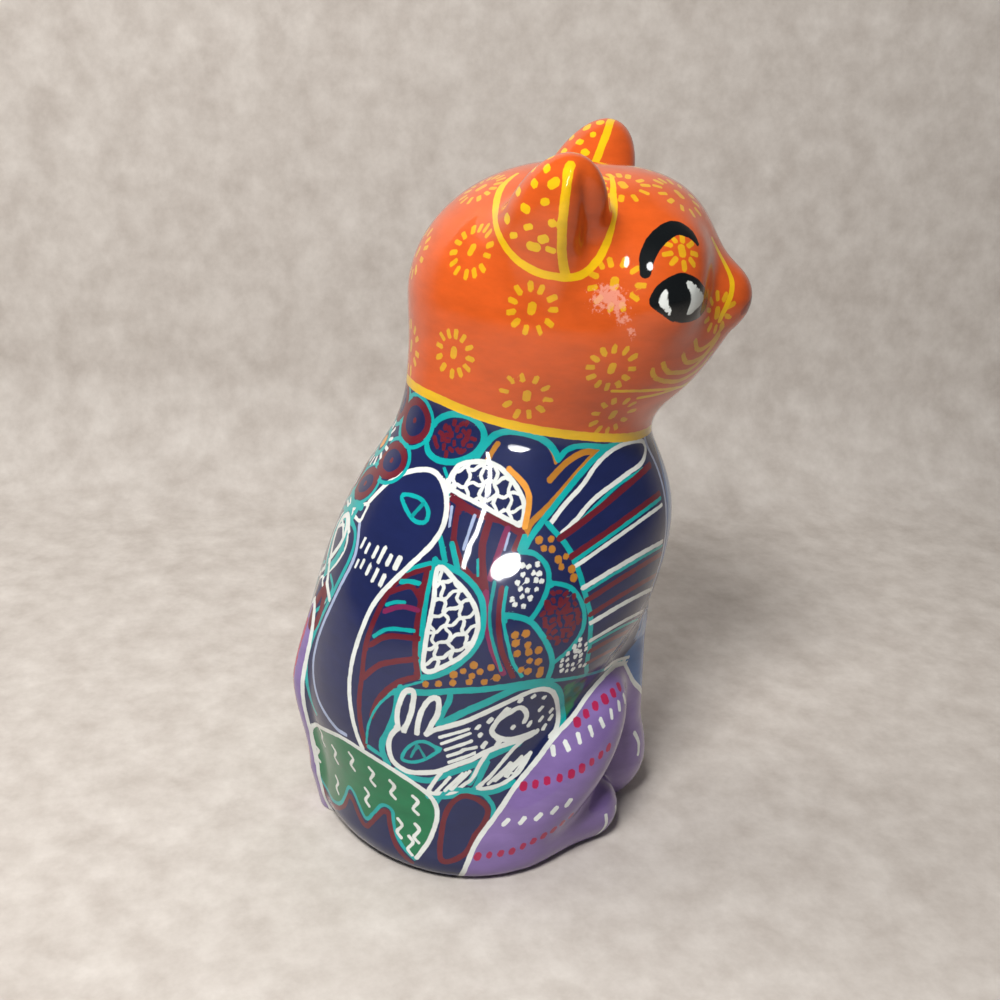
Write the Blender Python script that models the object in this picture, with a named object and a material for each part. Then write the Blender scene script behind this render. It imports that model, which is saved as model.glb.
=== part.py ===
"""Painted clay cat, sitting with its head turned to its right: one closed solid.

The cat faces -Y with +Z up and stands on z = 0, and the origin is under the middle of its box. Its body's
mid-plane is x = 0 and its right side is at -X.
The form is one smooth field, negative inside the clay, made of rounded lumps that run into each other. The
skin is a grid of points pushed out onto that field from the cat's own axis, evened out and closed below.
"""
import math

import bpy
import numpy as np

MM = 0.001                       # every size below is in millimetres

# ---- skin grid -------------------------------------------------------------------------------------
ANGLES = 74                      # points around
BODY_RINGS = 26                  # rings from the floor to the neck
HEAD_RINGS = 34                  # rings from the neck to the crown
EVENING_STEPS = 12               # passes that even out the grid along the surface
FARTHEST = 80.0                  # no point of the skin is farther from the axis than this
SET_BACK = (0.0, 9.1, 0.0)       # moves the finished skin so that its box stands over the origin

# ---- torso: heights above the floor and, at each, the back, the front and half the width -------------
HEIGHTS = (0.0, 14.0, 35.0, 60.0, 80.0, 98.0, 118.0)
BACK = (34.2, 34.8, 38.7, 34.1, 26.8, 17.0, 13.6)
FRONT = (-32.0, -32.5, -34.0, -46.3, -49.0, -42.0, -33.7)
HALF_WIDTH = (42.5, 39.5, 37.0, 38.0, 33.2, 25.4, 24.0)
BOTTOM_EDGE = 6.0                # rounding where the sides turn under
NECK_HEIGHT = 88.0               # where the body's rings end

# ---- head --------------------------------------------------------------------------------------------
HEAD_CENTRE = (0.0, -20.7, 126.0)
HEAD_TURN = 27.4                 # degrees to the cat's right
SKULL = (32.9, 35.6, 30.1)
FOREHEAD_AT, FOREHEAD = (0.0, -16.9, 14.6), (20.0, 13.0, 12.0)
CHEEKS_AT, CHEEKS_RADIUS = (0.0, -14.0, -3.3), 17.0
NOSE_AT, NOSE_RADIUS = (0.0, -35.2, 3.6), 6.4
BROW_AT, BROW = (15.2, -23.4, 13.6), (7.5, 7.0, 6.5)
EYE_AT, EYE = (19.4, -22.0, 6.0), (8.0, 8.0, 7.6)
EAR_AT, EAR = (22.2, 1.2, 14.7), (9.8, 11.6, 24.8)
EAR_TILT, EAR_LEAN = 29.0, 15.5   # degrees outwards and forwards
FOLD, FOLD_AT, FOLD_WIDTH = 4.2, 56.0, 24.0   # depth, and degrees around from the ear's outer face
RIM, RIM_AT, RIM_WIDTH = 1.1, 2.0, 13.0       # the same for the raised rim beside the fold
RIM_SWEEP, RIM_TOP = 1.1, 15.0                # rim and fold turn forwards by degrees for each mm down

# ---- legs and tail, on the cat's left; the right mirrors them -----------------------------------------
THIGH_AT, THIGH = (25.0, -13.0, 21.0), (15.5, 13.0, 28.0)
THIGH_TILT, THIGH_YAW = 45.0, 18.0
HEEL_AT, HEEL_RADIUS = (31.5, -6.0, 5.0), 7.0
TOE_AT, TOE_RADIUS = (24.4, -24.8, 6.5), 8.5
SHOULDER_AT, SHOULDER_RADIUS = (10.0, -34.0, 48.0), 9.0
WRIST_AT, WRIST_RADIUS = (10.0, -36.2, 12.0), 8.0
PAW_AT, PAW = (10.0, -35.2, 12.0), (9.0, 10.5, 13.0)
TAIL_WIDTH, TAIL_TOP, TAIL_OUT = 6.5, 60.0, 2.6

# ---- the hand's unevenness: height of the waves and their lengths -------------------------------------
WAVE_HEIGHT = 0.25
WAVES = (47.0, 61.0, 53.0)

CLAY_ORANGE = (0.80, 0.12, 0.03)


def blend(a, b, width):
    """Union of two fields that run into each other over the given width."""
    overlap = np.maximum(width - np.abs(a - b), 0.0) / width
    return np.minimum(a, b) - overlap * overlap * width * 0.25


def carve(a, b, width):
    """The first field with the second cut out of it, its edge rounded over the given width."""
    return -blend(-a, b, width)


def turn_x(p, degrees):
    c, s = math.cos(math.radians(degrees)), math.sin(math.radians(degrees))
    return np.stack([p[..., 0], p[..., 1] * c - p[..., 2] * s, p[..., 1] * s + p[..., 2] * c], -1)


def turn_y(p, degrees):
    c, s = math.cos(math.radians(degrees)), math.sin(math.radians(degrees))
    return np.stack([p[..., 0] * c + p[..., 2] * s, p[..., 1], -p[..., 0] * s + p[..., 2] * c], -1)


def turn_z(p, degrees):
    c, s = math.cos(math.radians(degrees)), math.sin(math.radians(degrees))
    return np.stack([p[..., 0] * c - p[..., 1] * s, p[..., 0] * s + p[..., 1] * c, p[..., 2]], -1)


def lump(p, radii):
    """Field of an ellipsoid around the origin."""
    radii = np.asarray(radii)
    near = np.linalg.norm(p / radii, axis=-1)
    slope = np.linalg.norm(p / radii ** 2, axis=-1)
    return near * (near - 1.0) / np.maximum(slope, 1e-9)


def limb(p, start, end, start_radius, end_radius):
    """Field of a round limb that changes its radius along its length."""
    start, end = np.asarray(start), np.asarray(end)
    along = end - start
    share = np.clip(((p - start) @ along) / (along @ along), 0.0, 1.0)
    radius = start_radius + (end_radius - start_radius) * share
    return np.linalg.norm(p - start - share[..., None] * along, axis=-1) - radius


def profile(z, values):
    """Smooth curve through a torso measure's values at HEIGHTS."""
    knots, values = np.asarray(HEIGHTS), np.asarray(values)
    slopes = np.gradient(values, knots)
    z = np.clip(z, knots[0], knots[-1])
    i = np.clip(np.searchsorted(knots, z) - 1, 0, len(knots) - 2)
    step = knots[i + 1] - knots[i]
    t = (z - knots[i]) / step
    ends = (2 * t ** 3 - 3 * t ** 2 + 1) * values[i] + (3 * t ** 2 - 2 * t ** 3) * values[i + 1]
    return ends + step * ((t ** 3 - 2 * t ** 2 + t) * slopes[i] + (t ** 3 - t ** 2) * slopes[i + 1])


def torso(p):
    """The pear-shaped body: an oval at each height, turned under at the floor."""
    z = p[..., 2]
    back, front, half = profile(z, BACK), profile(z, FRONT), profile(z, HALF_WIDTH)
    under = np.clip((BOTTOM_EDGE - z) / BOTTOM_EDGE, 0.0, 1.0)
    inset = BOTTOM_EDGE * 0.8 * (1.0 - np.sqrt(1.0 - under ** 2))
    half, deep = half - inset, (back - front) / 2.0 - inset
    oval = np.hypot(p[..., 0] / half, (p[..., 1] - (back + front) / 2.0) / deep)
    return carve((oval - 1.0) * np.minimum(half, deep), HEIGHTS[-1] - z, 12.0)


def tail(p):
    """The tail lying up the middle of the back, thinner and flatter towards its tip."""
    z = p[..., 2]
    back = profile(np.clip(z, 4.0, TAIL_TOP), BACK)
    out = TAIL_OUT * np.clip((TAIL_TOP - z) / 24.0, 0.0, 1.0) * np.clip((z + 2.0) / 12.0, 0.0, 1.0)
    width = TAIL_WIDTH * (1.0 - 0.3 * np.clip(z / TAIL_TOP, 0.0, 1.0))
    ridge = np.hypot(p[..., 0], p[..., 1] - (back + out - width)) - width
    return np.maximum(ridge, z - TAIL_TOP)


def ear(q, side):
    """One ear, in the head's own frame: a leaning dome, folded in beside a raised outer rim."""
    q = q - np.array(EAR_AT) * (side, 1, 1)
    q = turn_x(turn_y(q, -side * EAR_TILT), -EAR_LEAN)
    around = np.degrees(np.arctan2(-q[..., 1], side * q[..., 0])) - RIM_SWEEP * (RIM_TOP - q[..., 2])
    fold = FOLD * np.exp(-((around - FOLD_AT) / FOLD_WIDTH) ** 2)
    rim = RIM * np.exp(-((around - RIM_AT) / RIM_WIDTH) ** 2)
    out = q[..., 0] ** 2 + q[..., 1] ** 2
    return lump(q, EAR) + (fold - rim) * out / (out + 16.0)


def head(p):
    """Skull, snout, forehead, brows, eyes and ears, turned to the cat's right."""
    q = turn_z(p - np.array(HEAD_CENTRE), HEAD_TURN)
    field = blend(lump(q, SKULL), limb(q, CHEEKS_AT, NOSE_AT, CHEEKS_RADIUS, NOSE_RADIUS), 9.0)
    field = blend(field, lump(q - np.array(FOREHEAD_AT), FOREHEAD), 10.0)
    for side in (-1, 1):
        field = blend(field, lump(q - np.array(BROW_AT) * (side, 1, 1), BROW), 7.0)
        field = blend(field, lump(q - np.array(EYE_AT) * (side, 1, 1), EYE), 7.0)
        field = blend(field, ear(q, side), 6.0)
    return field


def legs(p, side):
    """Thigh, hind foot, foreleg and front paw of one side."""
    mirror = np.array((side, 1, 1))
    q = turn_x(turn_z(p - np.array(THIGH_AT) * mirror, side * THIGH_YAW), -THIGH_TILT)
    thigh = lump(q, THIGH)
    foot = limb(p, HEEL_AT * mirror, TOE_AT * mirror, HEEL_RADIUS, TOE_RADIUS)
    foreleg = limb(p, SHOULDER_AT * mirror, WRIST_AT * mirror, SHOULDER_RADIUS, WRIST_RADIUS)
    paw = lump(p - np.array(PAW_AT) * mirror, PAW)
    return ((thigh, 4.0), (foot, 3.0), (foreleg, 6.0), (paw, 3.0))


def cat(p):
    """The whole cat's field, negative inside."""
    field = blend(torso(p), tail(p), 2.0)
    for side in (-1, 1):
        for piece, width in legs(p, side):
            field = blend(field, piece, width)
    field = blend(field, head(p), 8.0)
    wave = sum(np.sin(p[..., k] * 2 * math.pi / WAVES[k] + 1.3 * k) for k in range(3))
    return field + WAVE_HEIGHT * wave / 3.0


def rays():
    """Starting point and direction of every grid point's ray, ring by ring from the floor up."""
    neck_axis = (profile(NECK_HEIGHT, BACK) + profile(NECK_HEIGHT, FRONT)) / 2.0
    rings = []
    for i in range(BODY_RINGS):
        z = NECK_HEIGHT * (i / (BODY_RINGS - 1)) ** 1.15
        rings.append(((0.0, (profile(z, BACK) + profile(z, FRONT)) / 2.0, z), 0.0))
    for i in range(1, HEAD_RINGS + 1):
        share = i / (HEAD_RINGS + 1)
        rise = min(1.0, share * 3.0)
        start = np.array((0.0, neck_axis, NECK_HEIGHT)) * (1 - rise) + np.array(HEAD_CENTRE) * rise
        rings.append((tuple(start), math.radians(90.0) * max(0.0, share - 0.12) / 0.88))
    around = np.linspace(0.0, 2 * math.pi, ANGLES, endpoint=False)
    starts = np.array([[start] * ANGLES for start, _ in rings])
    lifts = np.array([lift for _, lift in rings])[:, None]
    level = np.cos(lifts)
    ways = np.stack([level * np.sin(around), -level * np.cos(around), np.sin(lifts) + 0 * around], -1)
    return starts, ways


def cast(starts, ways):
    """Where each ray last leaves the clay."""
    steps = np.arange(0.0, FARTHEST, 1.0)
    inside = cat(starts[..., None, :] + ways[..., None, :] * steps[:, None]) < 0
    last = steps[len(steps) - 1 - np.argmax(inside[..., ::-1], -1)]
    low, high = last, last + 1.0
    for _ in range(12):
        middle = (low + high) / 2.0
        within = cat(starts + ways * middle[..., None]) < 0
        low, high = np.where(within, middle, low), np.where(within, high, middle)
    return starts + ways * low[..., None]


def slope(p):
    """Gradient of the field."""
    h = 0.05
    steps = np.eye(3) * h
    return np.stack([(cat(p + step) - cat(p - step)) / (2 * h) for step in steps], -1)


def even_out(grid, passes):
    """Slide the points along the surface towards their farther neighbours; the floor ring stays."""
    for _ in range(passes):
        inner = grid[1:-1]
        pulls = np.stack([grid[:-2], grid[2:], np.roll(inner, 1, 1), np.roll(inner, -1, 1)]) - inner
        lengths = np.linalg.norm(pulls, axis=-1, keepdims=True)
        normal = slope(inner)
        size = np.linalg.norm(normal, axis=-1, keepdims=True)
        shift = (pulls * lengths).sum(0) / lengths.sum(0) * 0.5
        shift -= (shift * normal).sum(-1, keepdims=True) * normal / size ** 2
        moved = inner + shift
        normal = slope(moved)
        moved -= cat(moved)[..., None] * normal / (normal ** 2).sum(-1, keepdims=True)
        moved[..., 2] = np.maximum(moved[..., 2], 0.1)
        grid = np.concatenate([grid[:1], moved, grid[-1:]])
    return grid


def close_mesh(grid):
    """Vertices and faces of the closed solid: the grid, a fan over the crown and a flat underside."""
    rings, around, _ = grid.shape
    middle = grid[0].mean(0)
    inner_ring = middle + (grid[0] - middle) * 0.5
    crown = cast(np.array(HEAD_CENTRE)[None], np.array([[0.0, 0.0, 1.0]]))[0]
    verts = (np.concatenate([grid.reshape(-1, 3), inner_ring, [middle, crown]]) + SET_BACK) * MM
    inner, foot, top = rings * around, rings * around + around, rings * around + around + 1
    faces = []
    for j in range(around):
        k = (j + 1) % around
        for i in range(rings - 1):
            faces.append((i * around + j, i * around + k, (i + 1) * around + k, (i + 1) * around + j))
        faces.append((k, j, inner + j, inner + k))
        faces.append((inner + k, inner + j, foot))
        faces.append(((rings - 1) * around + j, (rings - 1) * around + k, top))
    return verts, faces


def painted_clay():
    material = bpy.data.materials.new("painted clay")
    material.use_nodes = True
    shader = material.node_tree.nodes["Principled BSDF"]
    shader.inputs["Base Color"].default_value = (*CLAY_ORANGE, 1.0)
    shader.inputs["Roughness"].default_value = 0.15
    shader.inputs["Metallic"].default_value = 0.0
    material.diffuse_color = (*CLAY_ORANGE, 1.0)
    return material


def main():
    for old in list(bpy.data.objects):
        bpy.data.objects.remove(old)
    grid = even_out(cast(*rays()), EVENING_STEPS)
    verts, faces = close_mesh(grid)
    mesh = bpy.data.meshes.new("cat_figurine")
    mesh.from_pydata(verts.tolist(), [], faces)
    mesh.materials.append(painted_clay())
    mesh.shade_smooth()
    figurine = bpy.data.objects.new("cat_figurine", mesh)
    bpy.context.scene.collection.objects.link(figurine)


main()
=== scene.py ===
# %% [markdown]
# # A hand-painted clay cat
#
# Folk-art figurines like this one are cast or moulded in clay, fired, brushed all over with flat
# colours, drawn on with fine round brushes and then varnished until they shine. There is one piece
# of clay and one skin of paint, so this lesson makes one closed mesh and puts all its care into
# the drawing on it. The skin is made again from the same rounded lumps as the solid model, only
# with a much finer grid, and the drawing is kept as numbers on its points: how far each point is
# from the nearest brush stroke, and in which ink that stroke is.

import math

import bpy
import numpy as np
from mathutils import Matrix, Vector


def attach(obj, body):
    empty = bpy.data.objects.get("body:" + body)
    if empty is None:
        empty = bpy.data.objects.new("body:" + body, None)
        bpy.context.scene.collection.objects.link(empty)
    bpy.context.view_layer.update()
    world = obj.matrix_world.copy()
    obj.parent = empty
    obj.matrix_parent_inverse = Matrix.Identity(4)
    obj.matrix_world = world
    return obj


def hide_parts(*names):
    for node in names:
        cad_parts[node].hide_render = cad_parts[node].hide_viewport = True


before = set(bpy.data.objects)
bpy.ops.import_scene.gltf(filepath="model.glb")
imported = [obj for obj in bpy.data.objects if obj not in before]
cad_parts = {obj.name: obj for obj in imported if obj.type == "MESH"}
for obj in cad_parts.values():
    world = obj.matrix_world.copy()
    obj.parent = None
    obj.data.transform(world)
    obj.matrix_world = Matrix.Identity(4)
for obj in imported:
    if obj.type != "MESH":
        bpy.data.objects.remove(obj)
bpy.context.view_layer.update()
MM = 0.001                       # sizes below are in millimetres


# %% [markdown]
# ## Small helpers
#
# Nodes are added by one small function, which takes a node's settings and what feeds each socket.
# Colours are written as the hex values that a paint chart would give, and one function turns them
# into the linear values that Blender works with.

# %% Helpers for nodes and colours
def node(tree, kind, inputs=None, **settings):
    """A new node with its settings, and each input either linked to a socket or set to a value."""
    made = tree.nodes.new(kind)
    for name, value in settings.items():
        setattr(made, name, value)
    for name, value in (inputs or {}).items():
        if isinstance(value, bpy.types.NodeSocket):
            tree.links.new(value, made.inputs[name])
        else:
            made.inputs[name].default_value = value
    return made


def linear(code):
    """The linear red, green and blue of an sRGB hex colour."""
    parts = [int(code[i:i + 2], 16) / 255.0 for i in (1, 3, 5)]
    return tuple(v / 12.92 if v <= 0.04045 else ((v + 0.055) / 1.055) ** 2.4 for v in parts)


INKS = {
    "navy": "#19224F", "orange": "#CC541A", "yellow": "#E3B40F", "thin yellow": "#D8A017",
    "teal": "#0CA3A3", "deep teal": "#0A8F90", "white": "#DDE2DF", "net white": "#DDE2DF",
    "maroon": "#661A29", "rust": "#B27729", "amber": "#E39A3E", "black": "#0A0E10",
    "lilac": "#8069A4", "green": "#127249", "crimson": "#A8234F", "plum": "#7A2350",
    "sea": "#2C66A8", "sky": "#7F9FCC", "mist": "#9FAED0", "ember": "#A83A14",
}
BARE_CLAY, SCRAPED_CLAY_AND_SHEEN = "#B88468", "#E39A86"      # under the foot, and where the paint is rubbed off, made pale there as a painted highlight too
print(len(INKS), "inks")

# %% [markdown]
# ## The clay
#
# Cats like this one are pressed into a mould and their joins are wiped smooth, so every part runs
# softly into the next. A field does this well: each lump says how deep inside it a point is, and a
# blend lets two lumps flow together. These are the same lumps, sizes and blends as in the solid
# model, so the painted skin lies on it.

# %% Sizes of the clay
ANGLES, BODY_RINGS, HEAD_RINGS, EVENING_STEPS = 74, 26, 34, 12
FARTHEST = 80.0                  # how far a ray looks for the clay
SET_BACK = np.array((0.0, 9.1, 0.0))
HEIGHTS = (0.0, 14.0, 35.0, 60.0, 80.0, 98.0, 118.0)
BACK = (34.2, 34.8, 38.7, 34.1, 26.8, 17.0, 13.6)
FRONT = (-32.0, -32.5, -34.0, -46.3, -49.0, -42.0, -33.7)
HALF_WIDTH = (42.5, 39.5, 37.0, 38.0, 33.2, 25.4, 24.0)
BOTTOM_EDGE, NECK_HEIGHT = 6.0, 88.0
HEAD_CENTRE, HEAD_TURN = np.array((0.0, -20.7, 126.0)), 27.4
SKULL = (32.9, 35.6, 30.1)
FOREHEAD_AT, FOREHEAD = (0.0, -16.9, 14.6), (20.0, 13.0, 12.0)
CHEEKS_AT, CHEEKS_RADIUS = (0.0, -14.0, -3.3), 17.0
NOSE_AT, NOSE_RADIUS = (0.0, -35.2, 3.6), 6.4
BROW_AT, BROW = (15.2, -23.4, 13.6), (7.5, 7.0, 6.5)
EYE_AT, EYE = (19.4, -22.0, 6.0), (8.0, 8.0, 7.6)
EAR_AT, EAR = (22.2, 1.2, 14.7), (9.8, 11.6, 24.8)
EAR_TILT, EAR_LEAN = 29.0, 15.5
FOLD, FOLD_AT, FOLD_WIDTH = 4.2, 56.0, 24.0
RIM, RIM_AT, RIM_WIDTH = 1.1, 2.0, 13.0
RIM_SWEEP, RIM_TOP = 1.1, 15.0
THIGH_AT, THIGH, THIGH_TILT, THIGH_YAW = (25.0, -13.0, 21.0), (15.5, 13.0, 28.0), 45.0, 18.0
HEEL_AT, HEEL_RADIUS = (31.5, -6.0, 5.0), 7.0
TOE_AT, TOE_RADIUS = (24.4, -24.8, 6.5), 8.5
SHOULDER_AT, SHOULDER_RADIUS = (10.0, -34.0, 48.0), 9.0
WRIST_AT, WRIST_RADIUS = (10.0, -36.2, 12.0), 8.0
PAW_AT, PAW = (10.0, -35.2, 12.0), (9.0, 10.5, 13.0)
TAIL_WIDTH, TAIL_TOP, TAIL_OUT = 6.5, 60.0, 2.6
WAVE_HEIGHT, WAVES = 0.25, (47.0, 61.0, 53.0)


# %% The clay's field, negative inside
def blend(a, b, width):
    overlap = np.maximum(width - np.abs(a - b), 0.0) / width
    return np.minimum(a, b) - overlap * overlap * width * 0.25


def carve(a, b, width):
    return -blend(-a, b, width)


def turn(p, degrees, axis):
    """Points turned about one axis, in the way a right-handed screw turns."""
    c, s = math.cos(math.radians(degrees)), math.sin(math.radians(degrees))
    i, j = (axis + 1) % 3, (axis + 2) % 3
    out = np.array(p, dtype=float)
    out[..., i] = p[..., i] * c - p[..., j] * s
    out[..., j] = p[..., i] * s + p[..., j] * c
    return out


def lump(p, radii):
    radii = np.asarray(radii)
    near = np.linalg.norm(p / radii, axis=-1)
    steep = np.linalg.norm(p / radii ** 2, axis=-1)
    return near * (near - 1.0) / np.maximum(steep, 1e-9)


def limb(p, start, end, start_radius, end_radius):
    start, end = np.asarray(start), np.asarray(end)
    along = end - start
    share = np.clip(((p - start) @ along) / (along @ along), 0.0, 1.0)
    radius = start_radius + (end_radius - start_radius) * share
    return np.linalg.norm(p - start - share[..., None] * along, axis=-1) - radius


def profile(z, values):
    """Smooth curve through one of the torso's measures at HEIGHTS."""
    knots, values = np.asarray(HEIGHTS), np.asarray(values)
    slopes = np.gradient(values, knots)
    z = np.clip(z, knots[0], knots[-1])
    i = np.clip(np.searchsorted(knots, z) - 1, 0, len(knots) - 2)
    step = knots[i + 1] - knots[i]
    t = (z - knots[i]) / step
    ends = (2 * t ** 3 - 3 * t ** 2 + 1) * values[i] + (3 * t ** 2 - 2 * t ** 3) * values[i + 1]
    return ends + step * ((t ** 3 - 2 * t ** 2 + t) * slopes[i] + (t ** 3 - t ** 2) * slopes[i + 1])


def torso(p):
    z = p[..., 2]
    back, front, half = profile(z, BACK), profile(z, FRONT), profile(z, HALF_WIDTH)
    under = np.clip((BOTTOM_EDGE - z) / BOTTOM_EDGE, 0.0, 1.0)
    inset = BOTTOM_EDGE * 0.8 * (1.0 - np.sqrt(1.0 - under ** 2))
    half, deep = half - inset, (back - front) / 2.0 - inset
    oval = np.hypot(p[..., 0] / half, (p[..., 1] - (back + front) / 2.0) / deep)
    return carve((oval - 1.0) * np.minimum(half, deep), HEIGHTS[-1] - z, 12.0)


def tail(p):
    z = p[..., 2]
    back = profile(np.clip(z, 4.0, TAIL_TOP), BACK)
    rise = np.clip((TAIL_TOP - z) / 24.0, 0.0, 1.0) * np.clip((z + 2.0) / 12.0, 0.0, 1.0)
    width = TAIL_WIDTH * (1.0 - 0.3 * np.clip(z / TAIL_TOP, 0.0, 1.0))
    ridge = np.hypot(p[..., 0], p[..., 1] - (back + TAIL_OUT * rise - width)) - width
    return np.maximum(ridge, z - TAIL_TOP)


def ear(q, side):
    q = q - np.array(EAR_AT) * (side, 1, 1)
    q = turn(turn(q, -side * EAR_TILT, 1), -EAR_LEAN, 0)
    around = np.degrees(np.arctan2(-q[..., 1], side * q[..., 0])) - RIM_SWEEP * (RIM_TOP - q[..., 2])
    fold = FOLD * np.exp(-((around - FOLD_AT) / FOLD_WIDTH) ** 2)
    rim = RIM * np.exp(-((around - RIM_AT) / RIM_WIDTH) ** 2)
    out = q[..., 0] ** 2 + q[..., 1] ** 2
    return lump(q, EAR) + (fold - rim) * out / (out + 16.0)


def head(p):
    q = turn(p - HEAD_CENTRE, HEAD_TURN, 2)
    field = blend(lump(q, SKULL), limb(q, CHEEKS_AT, NOSE_AT, CHEEKS_RADIUS, NOSE_RADIUS), 9.0)
    field = blend(field, lump(q - np.array(FOREHEAD_AT), FOREHEAD), 10.0)
    for side in (-1, 1):
        field = blend(field, lump(q - np.array(BROW_AT) * (side, 1, 1), BROW), 7.0)
        field = blend(field, lump(q - np.array(EYE_AT) * (side, 1, 1), EYE), 7.0)
        field = blend(field, ear(q, side), 6.0)
    return field


def legs(p, side):
    mirror = np.array((side, 1, 1))
    q = turn(turn(p - np.array(THIGH_AT) * mirror, side * THIGH_YAW, 2), -THIGH_TILT, 0)
    foot = limb(p, HEEL_AT * mirror, TOE_AT * mirror, HEEL_RADIUS, TOE_RADIUS)
    foreleg = limb(p, SHOULDER_AT * mirror, WRIST_AT * mirror, SHOULDER_RADIUS, WRIST_RADIUS)
    paw = lump(p - np.array(PAW_AT) * mirror, PAW)
    return ((lump(q, THIGH), 4.0), (foot, 3.0), (foreleg, 6.0), (paw, 3.0))


def cat(p):
    field = blend(torso(p), tail(p), 2.0)
    for side in (-1, 1):
        for piece, width in legs(p, side):
            field = blend(field, piece, width)
    field = blend(field, head(p), 8.0)
    wave = sum(np.sin(p[..., k] * 2 * math.pi / WAVES[k] + 1.3 * k) for k in range(3))
    return field + WAVE_HEIGHT * wave / 3.0


def slope(p):
    """Gradient of the field, which points out of the clay."""
    step = 0.05
    return np.stack([(cat(p + d) - cat(p - d)) / (2 * step) for d in np.eye(3) * step], -1)


print("the field at the middle of the head:", round(float(cat(HEAD_CENTRE)), 1), "mm")


# %% [markdown]
# ## The skin
#
# Rays go out from the cat's own axis, ring by ring, and each ends where it last leaves the clay.
# The grid they make is evened out by letting its points slide along the surface. It starts as the
# coarse grid of the solid model, then gets four to five times as many rows and columns, because
# the paint's edges can only be as clean as the grid is fine: about 0.7 mm from point to point.

# %% Rays and grid
FINE_AROUND, FINE_RINGS = 336, 290       # points around and rings of the finished skin
CHUNK = 4000                             # rays cast at one time, to keep the memory small


def between(a, b, c, d, t):
    """The place a share t of the way from b to c, on a smooth curve that also heeds a and d."""
    return b + 0.5 * t * (c - a + t * (2 * a - 5 * b + 4 * c - d + t * (3 * (b - c) + d - a)))


def cast(starts, ways, first=False):
    """Where each ray last leaves the clay, or first leaves it."""
    steps = np.arange(0.0, FARTHEST, 1.0)
    flat_starts, flat_ways = starts.reshape(-1, 3), ways.reshape(-1, 3)
    found = []
    for i in range(0, len(flat_starts), CHUNK):
        a, w = flat_starts[i:i + CHUNK], flat_ways[i:i + CHUNK]
        inside = cat(a[:, None, :] + w[:, None, :] * steps[:, None]) < 0
        if first:
            low = np.maximum(np.argmin(inside, -1) - 1, 0) * 1.0
        else:
            low = steps[len(steps) - 1 - np.argmax(inside[:, ::-1], -1)]
        high = low + 1.0
        for _ in range(12):
            middle = (low + high) / 2.0
            within = cat(a + w * middle[:, None]) < 0
            low, high = np.where(within, middle, low), np.where(within, high, middle)
        found.append(a + w * low[:, None])
    return np.concatenate(found).reshape(starts.shape)


def rays():
    """Starting point and direction of every coarse grid point's ray, from the floor up."""
    neck_axis = (profile(NECK_HEIGHT, BACK) + profile(NECK_HEIGHT, FRONT)) / 2.0
    rings = []
    for i in range(BODY_RINGS):
        z = NECK_HEIGHT * (i / (BODY_RINGS - 1)) ** 1.15
        rings.append(((0.0, (profile(z, BACK) + profile(z, FRONT)) / 2.0, z), 0.0))
    for i in range(1, HEAD_RINGS + 1):
        share = i / (HEAD_RINGS + 1)
        rise = min(1.0, share * 3.0)
        start = np.array((0.0, neck_axis, NECK_HEIGHT)) * (1 - rise) + HEAD_CENTRE * rise
        rings.append((tuple(start), math.radians(90.0) * max(0.0, share - 0.12) / 0.88))
    around = np.linspace(0.0, 2 * math.pi, ANGLES, endpoint=False)
    starts = np.array([[start] * ANGLES for start, _ in rings])
    lifts = np.array([lift for _, lift in rings])[:, None]
    level = np.cos(lifts)
    ways = np.stack([level * np.sin(around), -level * np.cos(around), np.sin(lifts) + 0 * around], -1)
    return starts, ways


def settle(p):
    """Points moved straight onto the surface."""
    normal = slope(p)
    return p - cat(p)[..., None] * normal / (normal ** 2).sum(-1, keepdims=True)


def even_out(grid, passes):
    """Slide the points along the surface towards their farther neighbours; the floor ring stays."""
    for _ in range(passes):
        inner = grid[1:-1]
        pulls = np.stack([grid[:-2], grid[2:], np.roll(inner, 1, 1), np.roll(inner, -1, 1)]) - inner
        lengths = np.linalg.norm(pulls, axis=-1, keepdims=True)
        normal = slope(inner)
        size = np.linalg.norm(normal, axis=-1, keepdims=True)
        shift = (pulls * lengths).sum(0) / lengths.sum(0) * 0.5
        shift -= (shift * normal).sum(-1, keepdims=True) * normal / size ** 2
        moved = settle(inner + shift)
        moved[..., 2] = np.maximum(moved[..., 2], 0.02)
        grid = np.concatenate([grid[:1], moved, grid[-1:]])
    return grid


def finer(grid, rings, around):
    """The grid with more rings and columns, on smooth curves through the old points."""
    for axis, count, wraps in ((0, rings, False), (1, around, True)):
        old = grid.shape[axis]
        at = np.linspace(0.0, old if wraps else old - 1.0, count, endpoint=not wraps)
        i = np.minimum(at.astype(int), old - 1 if wraps else old - 2)
        t = (at - i).reshape((-1, 1, 1) if axis == 0 else (1, -1, 1))
        near = [np.take(grid, (i + k) % old if wraps else np.clip(i + k, 0, old - 1), axis)
                for k in (-1, 0, 1, 2)]
        grid = between(*near, t)
    return grid


coarse = even_out(cast(*rays()), EVENING_STEPS)
skin_grid = finer(coarse, FINE_RINGS, FINE_AROUND)
skin_grid[1:] = settle(settle(settle(skin_grid[1:])))
skin_grid[1:, :, 2] = np.maximum(skin_grid[1:, :, 2], 0.02)
skin_grid = even_out(skin_grid, 5)
gaps = np.linalg.norm(np.diff(skin_grid, axis=0), axis=-1)
print("skin grid", skin_grid.shape[:2], "ring spacing up to", round(float(gaps.max()), 2), "mm")


# %% [markdown]
# ## Maps of the cat
#
# A painter thinks of a place as "half-way round the back, below the wing". So the drawing is
# planned on maps. On the body a place is its angle from the front, towards the cat's right, and
# its height. On the head it is an angle around the face and one above the middle of the head,
# both in the turned head's own frame. Each ear has a map of its own, with an angle around the ear
# and a height up it.

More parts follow.
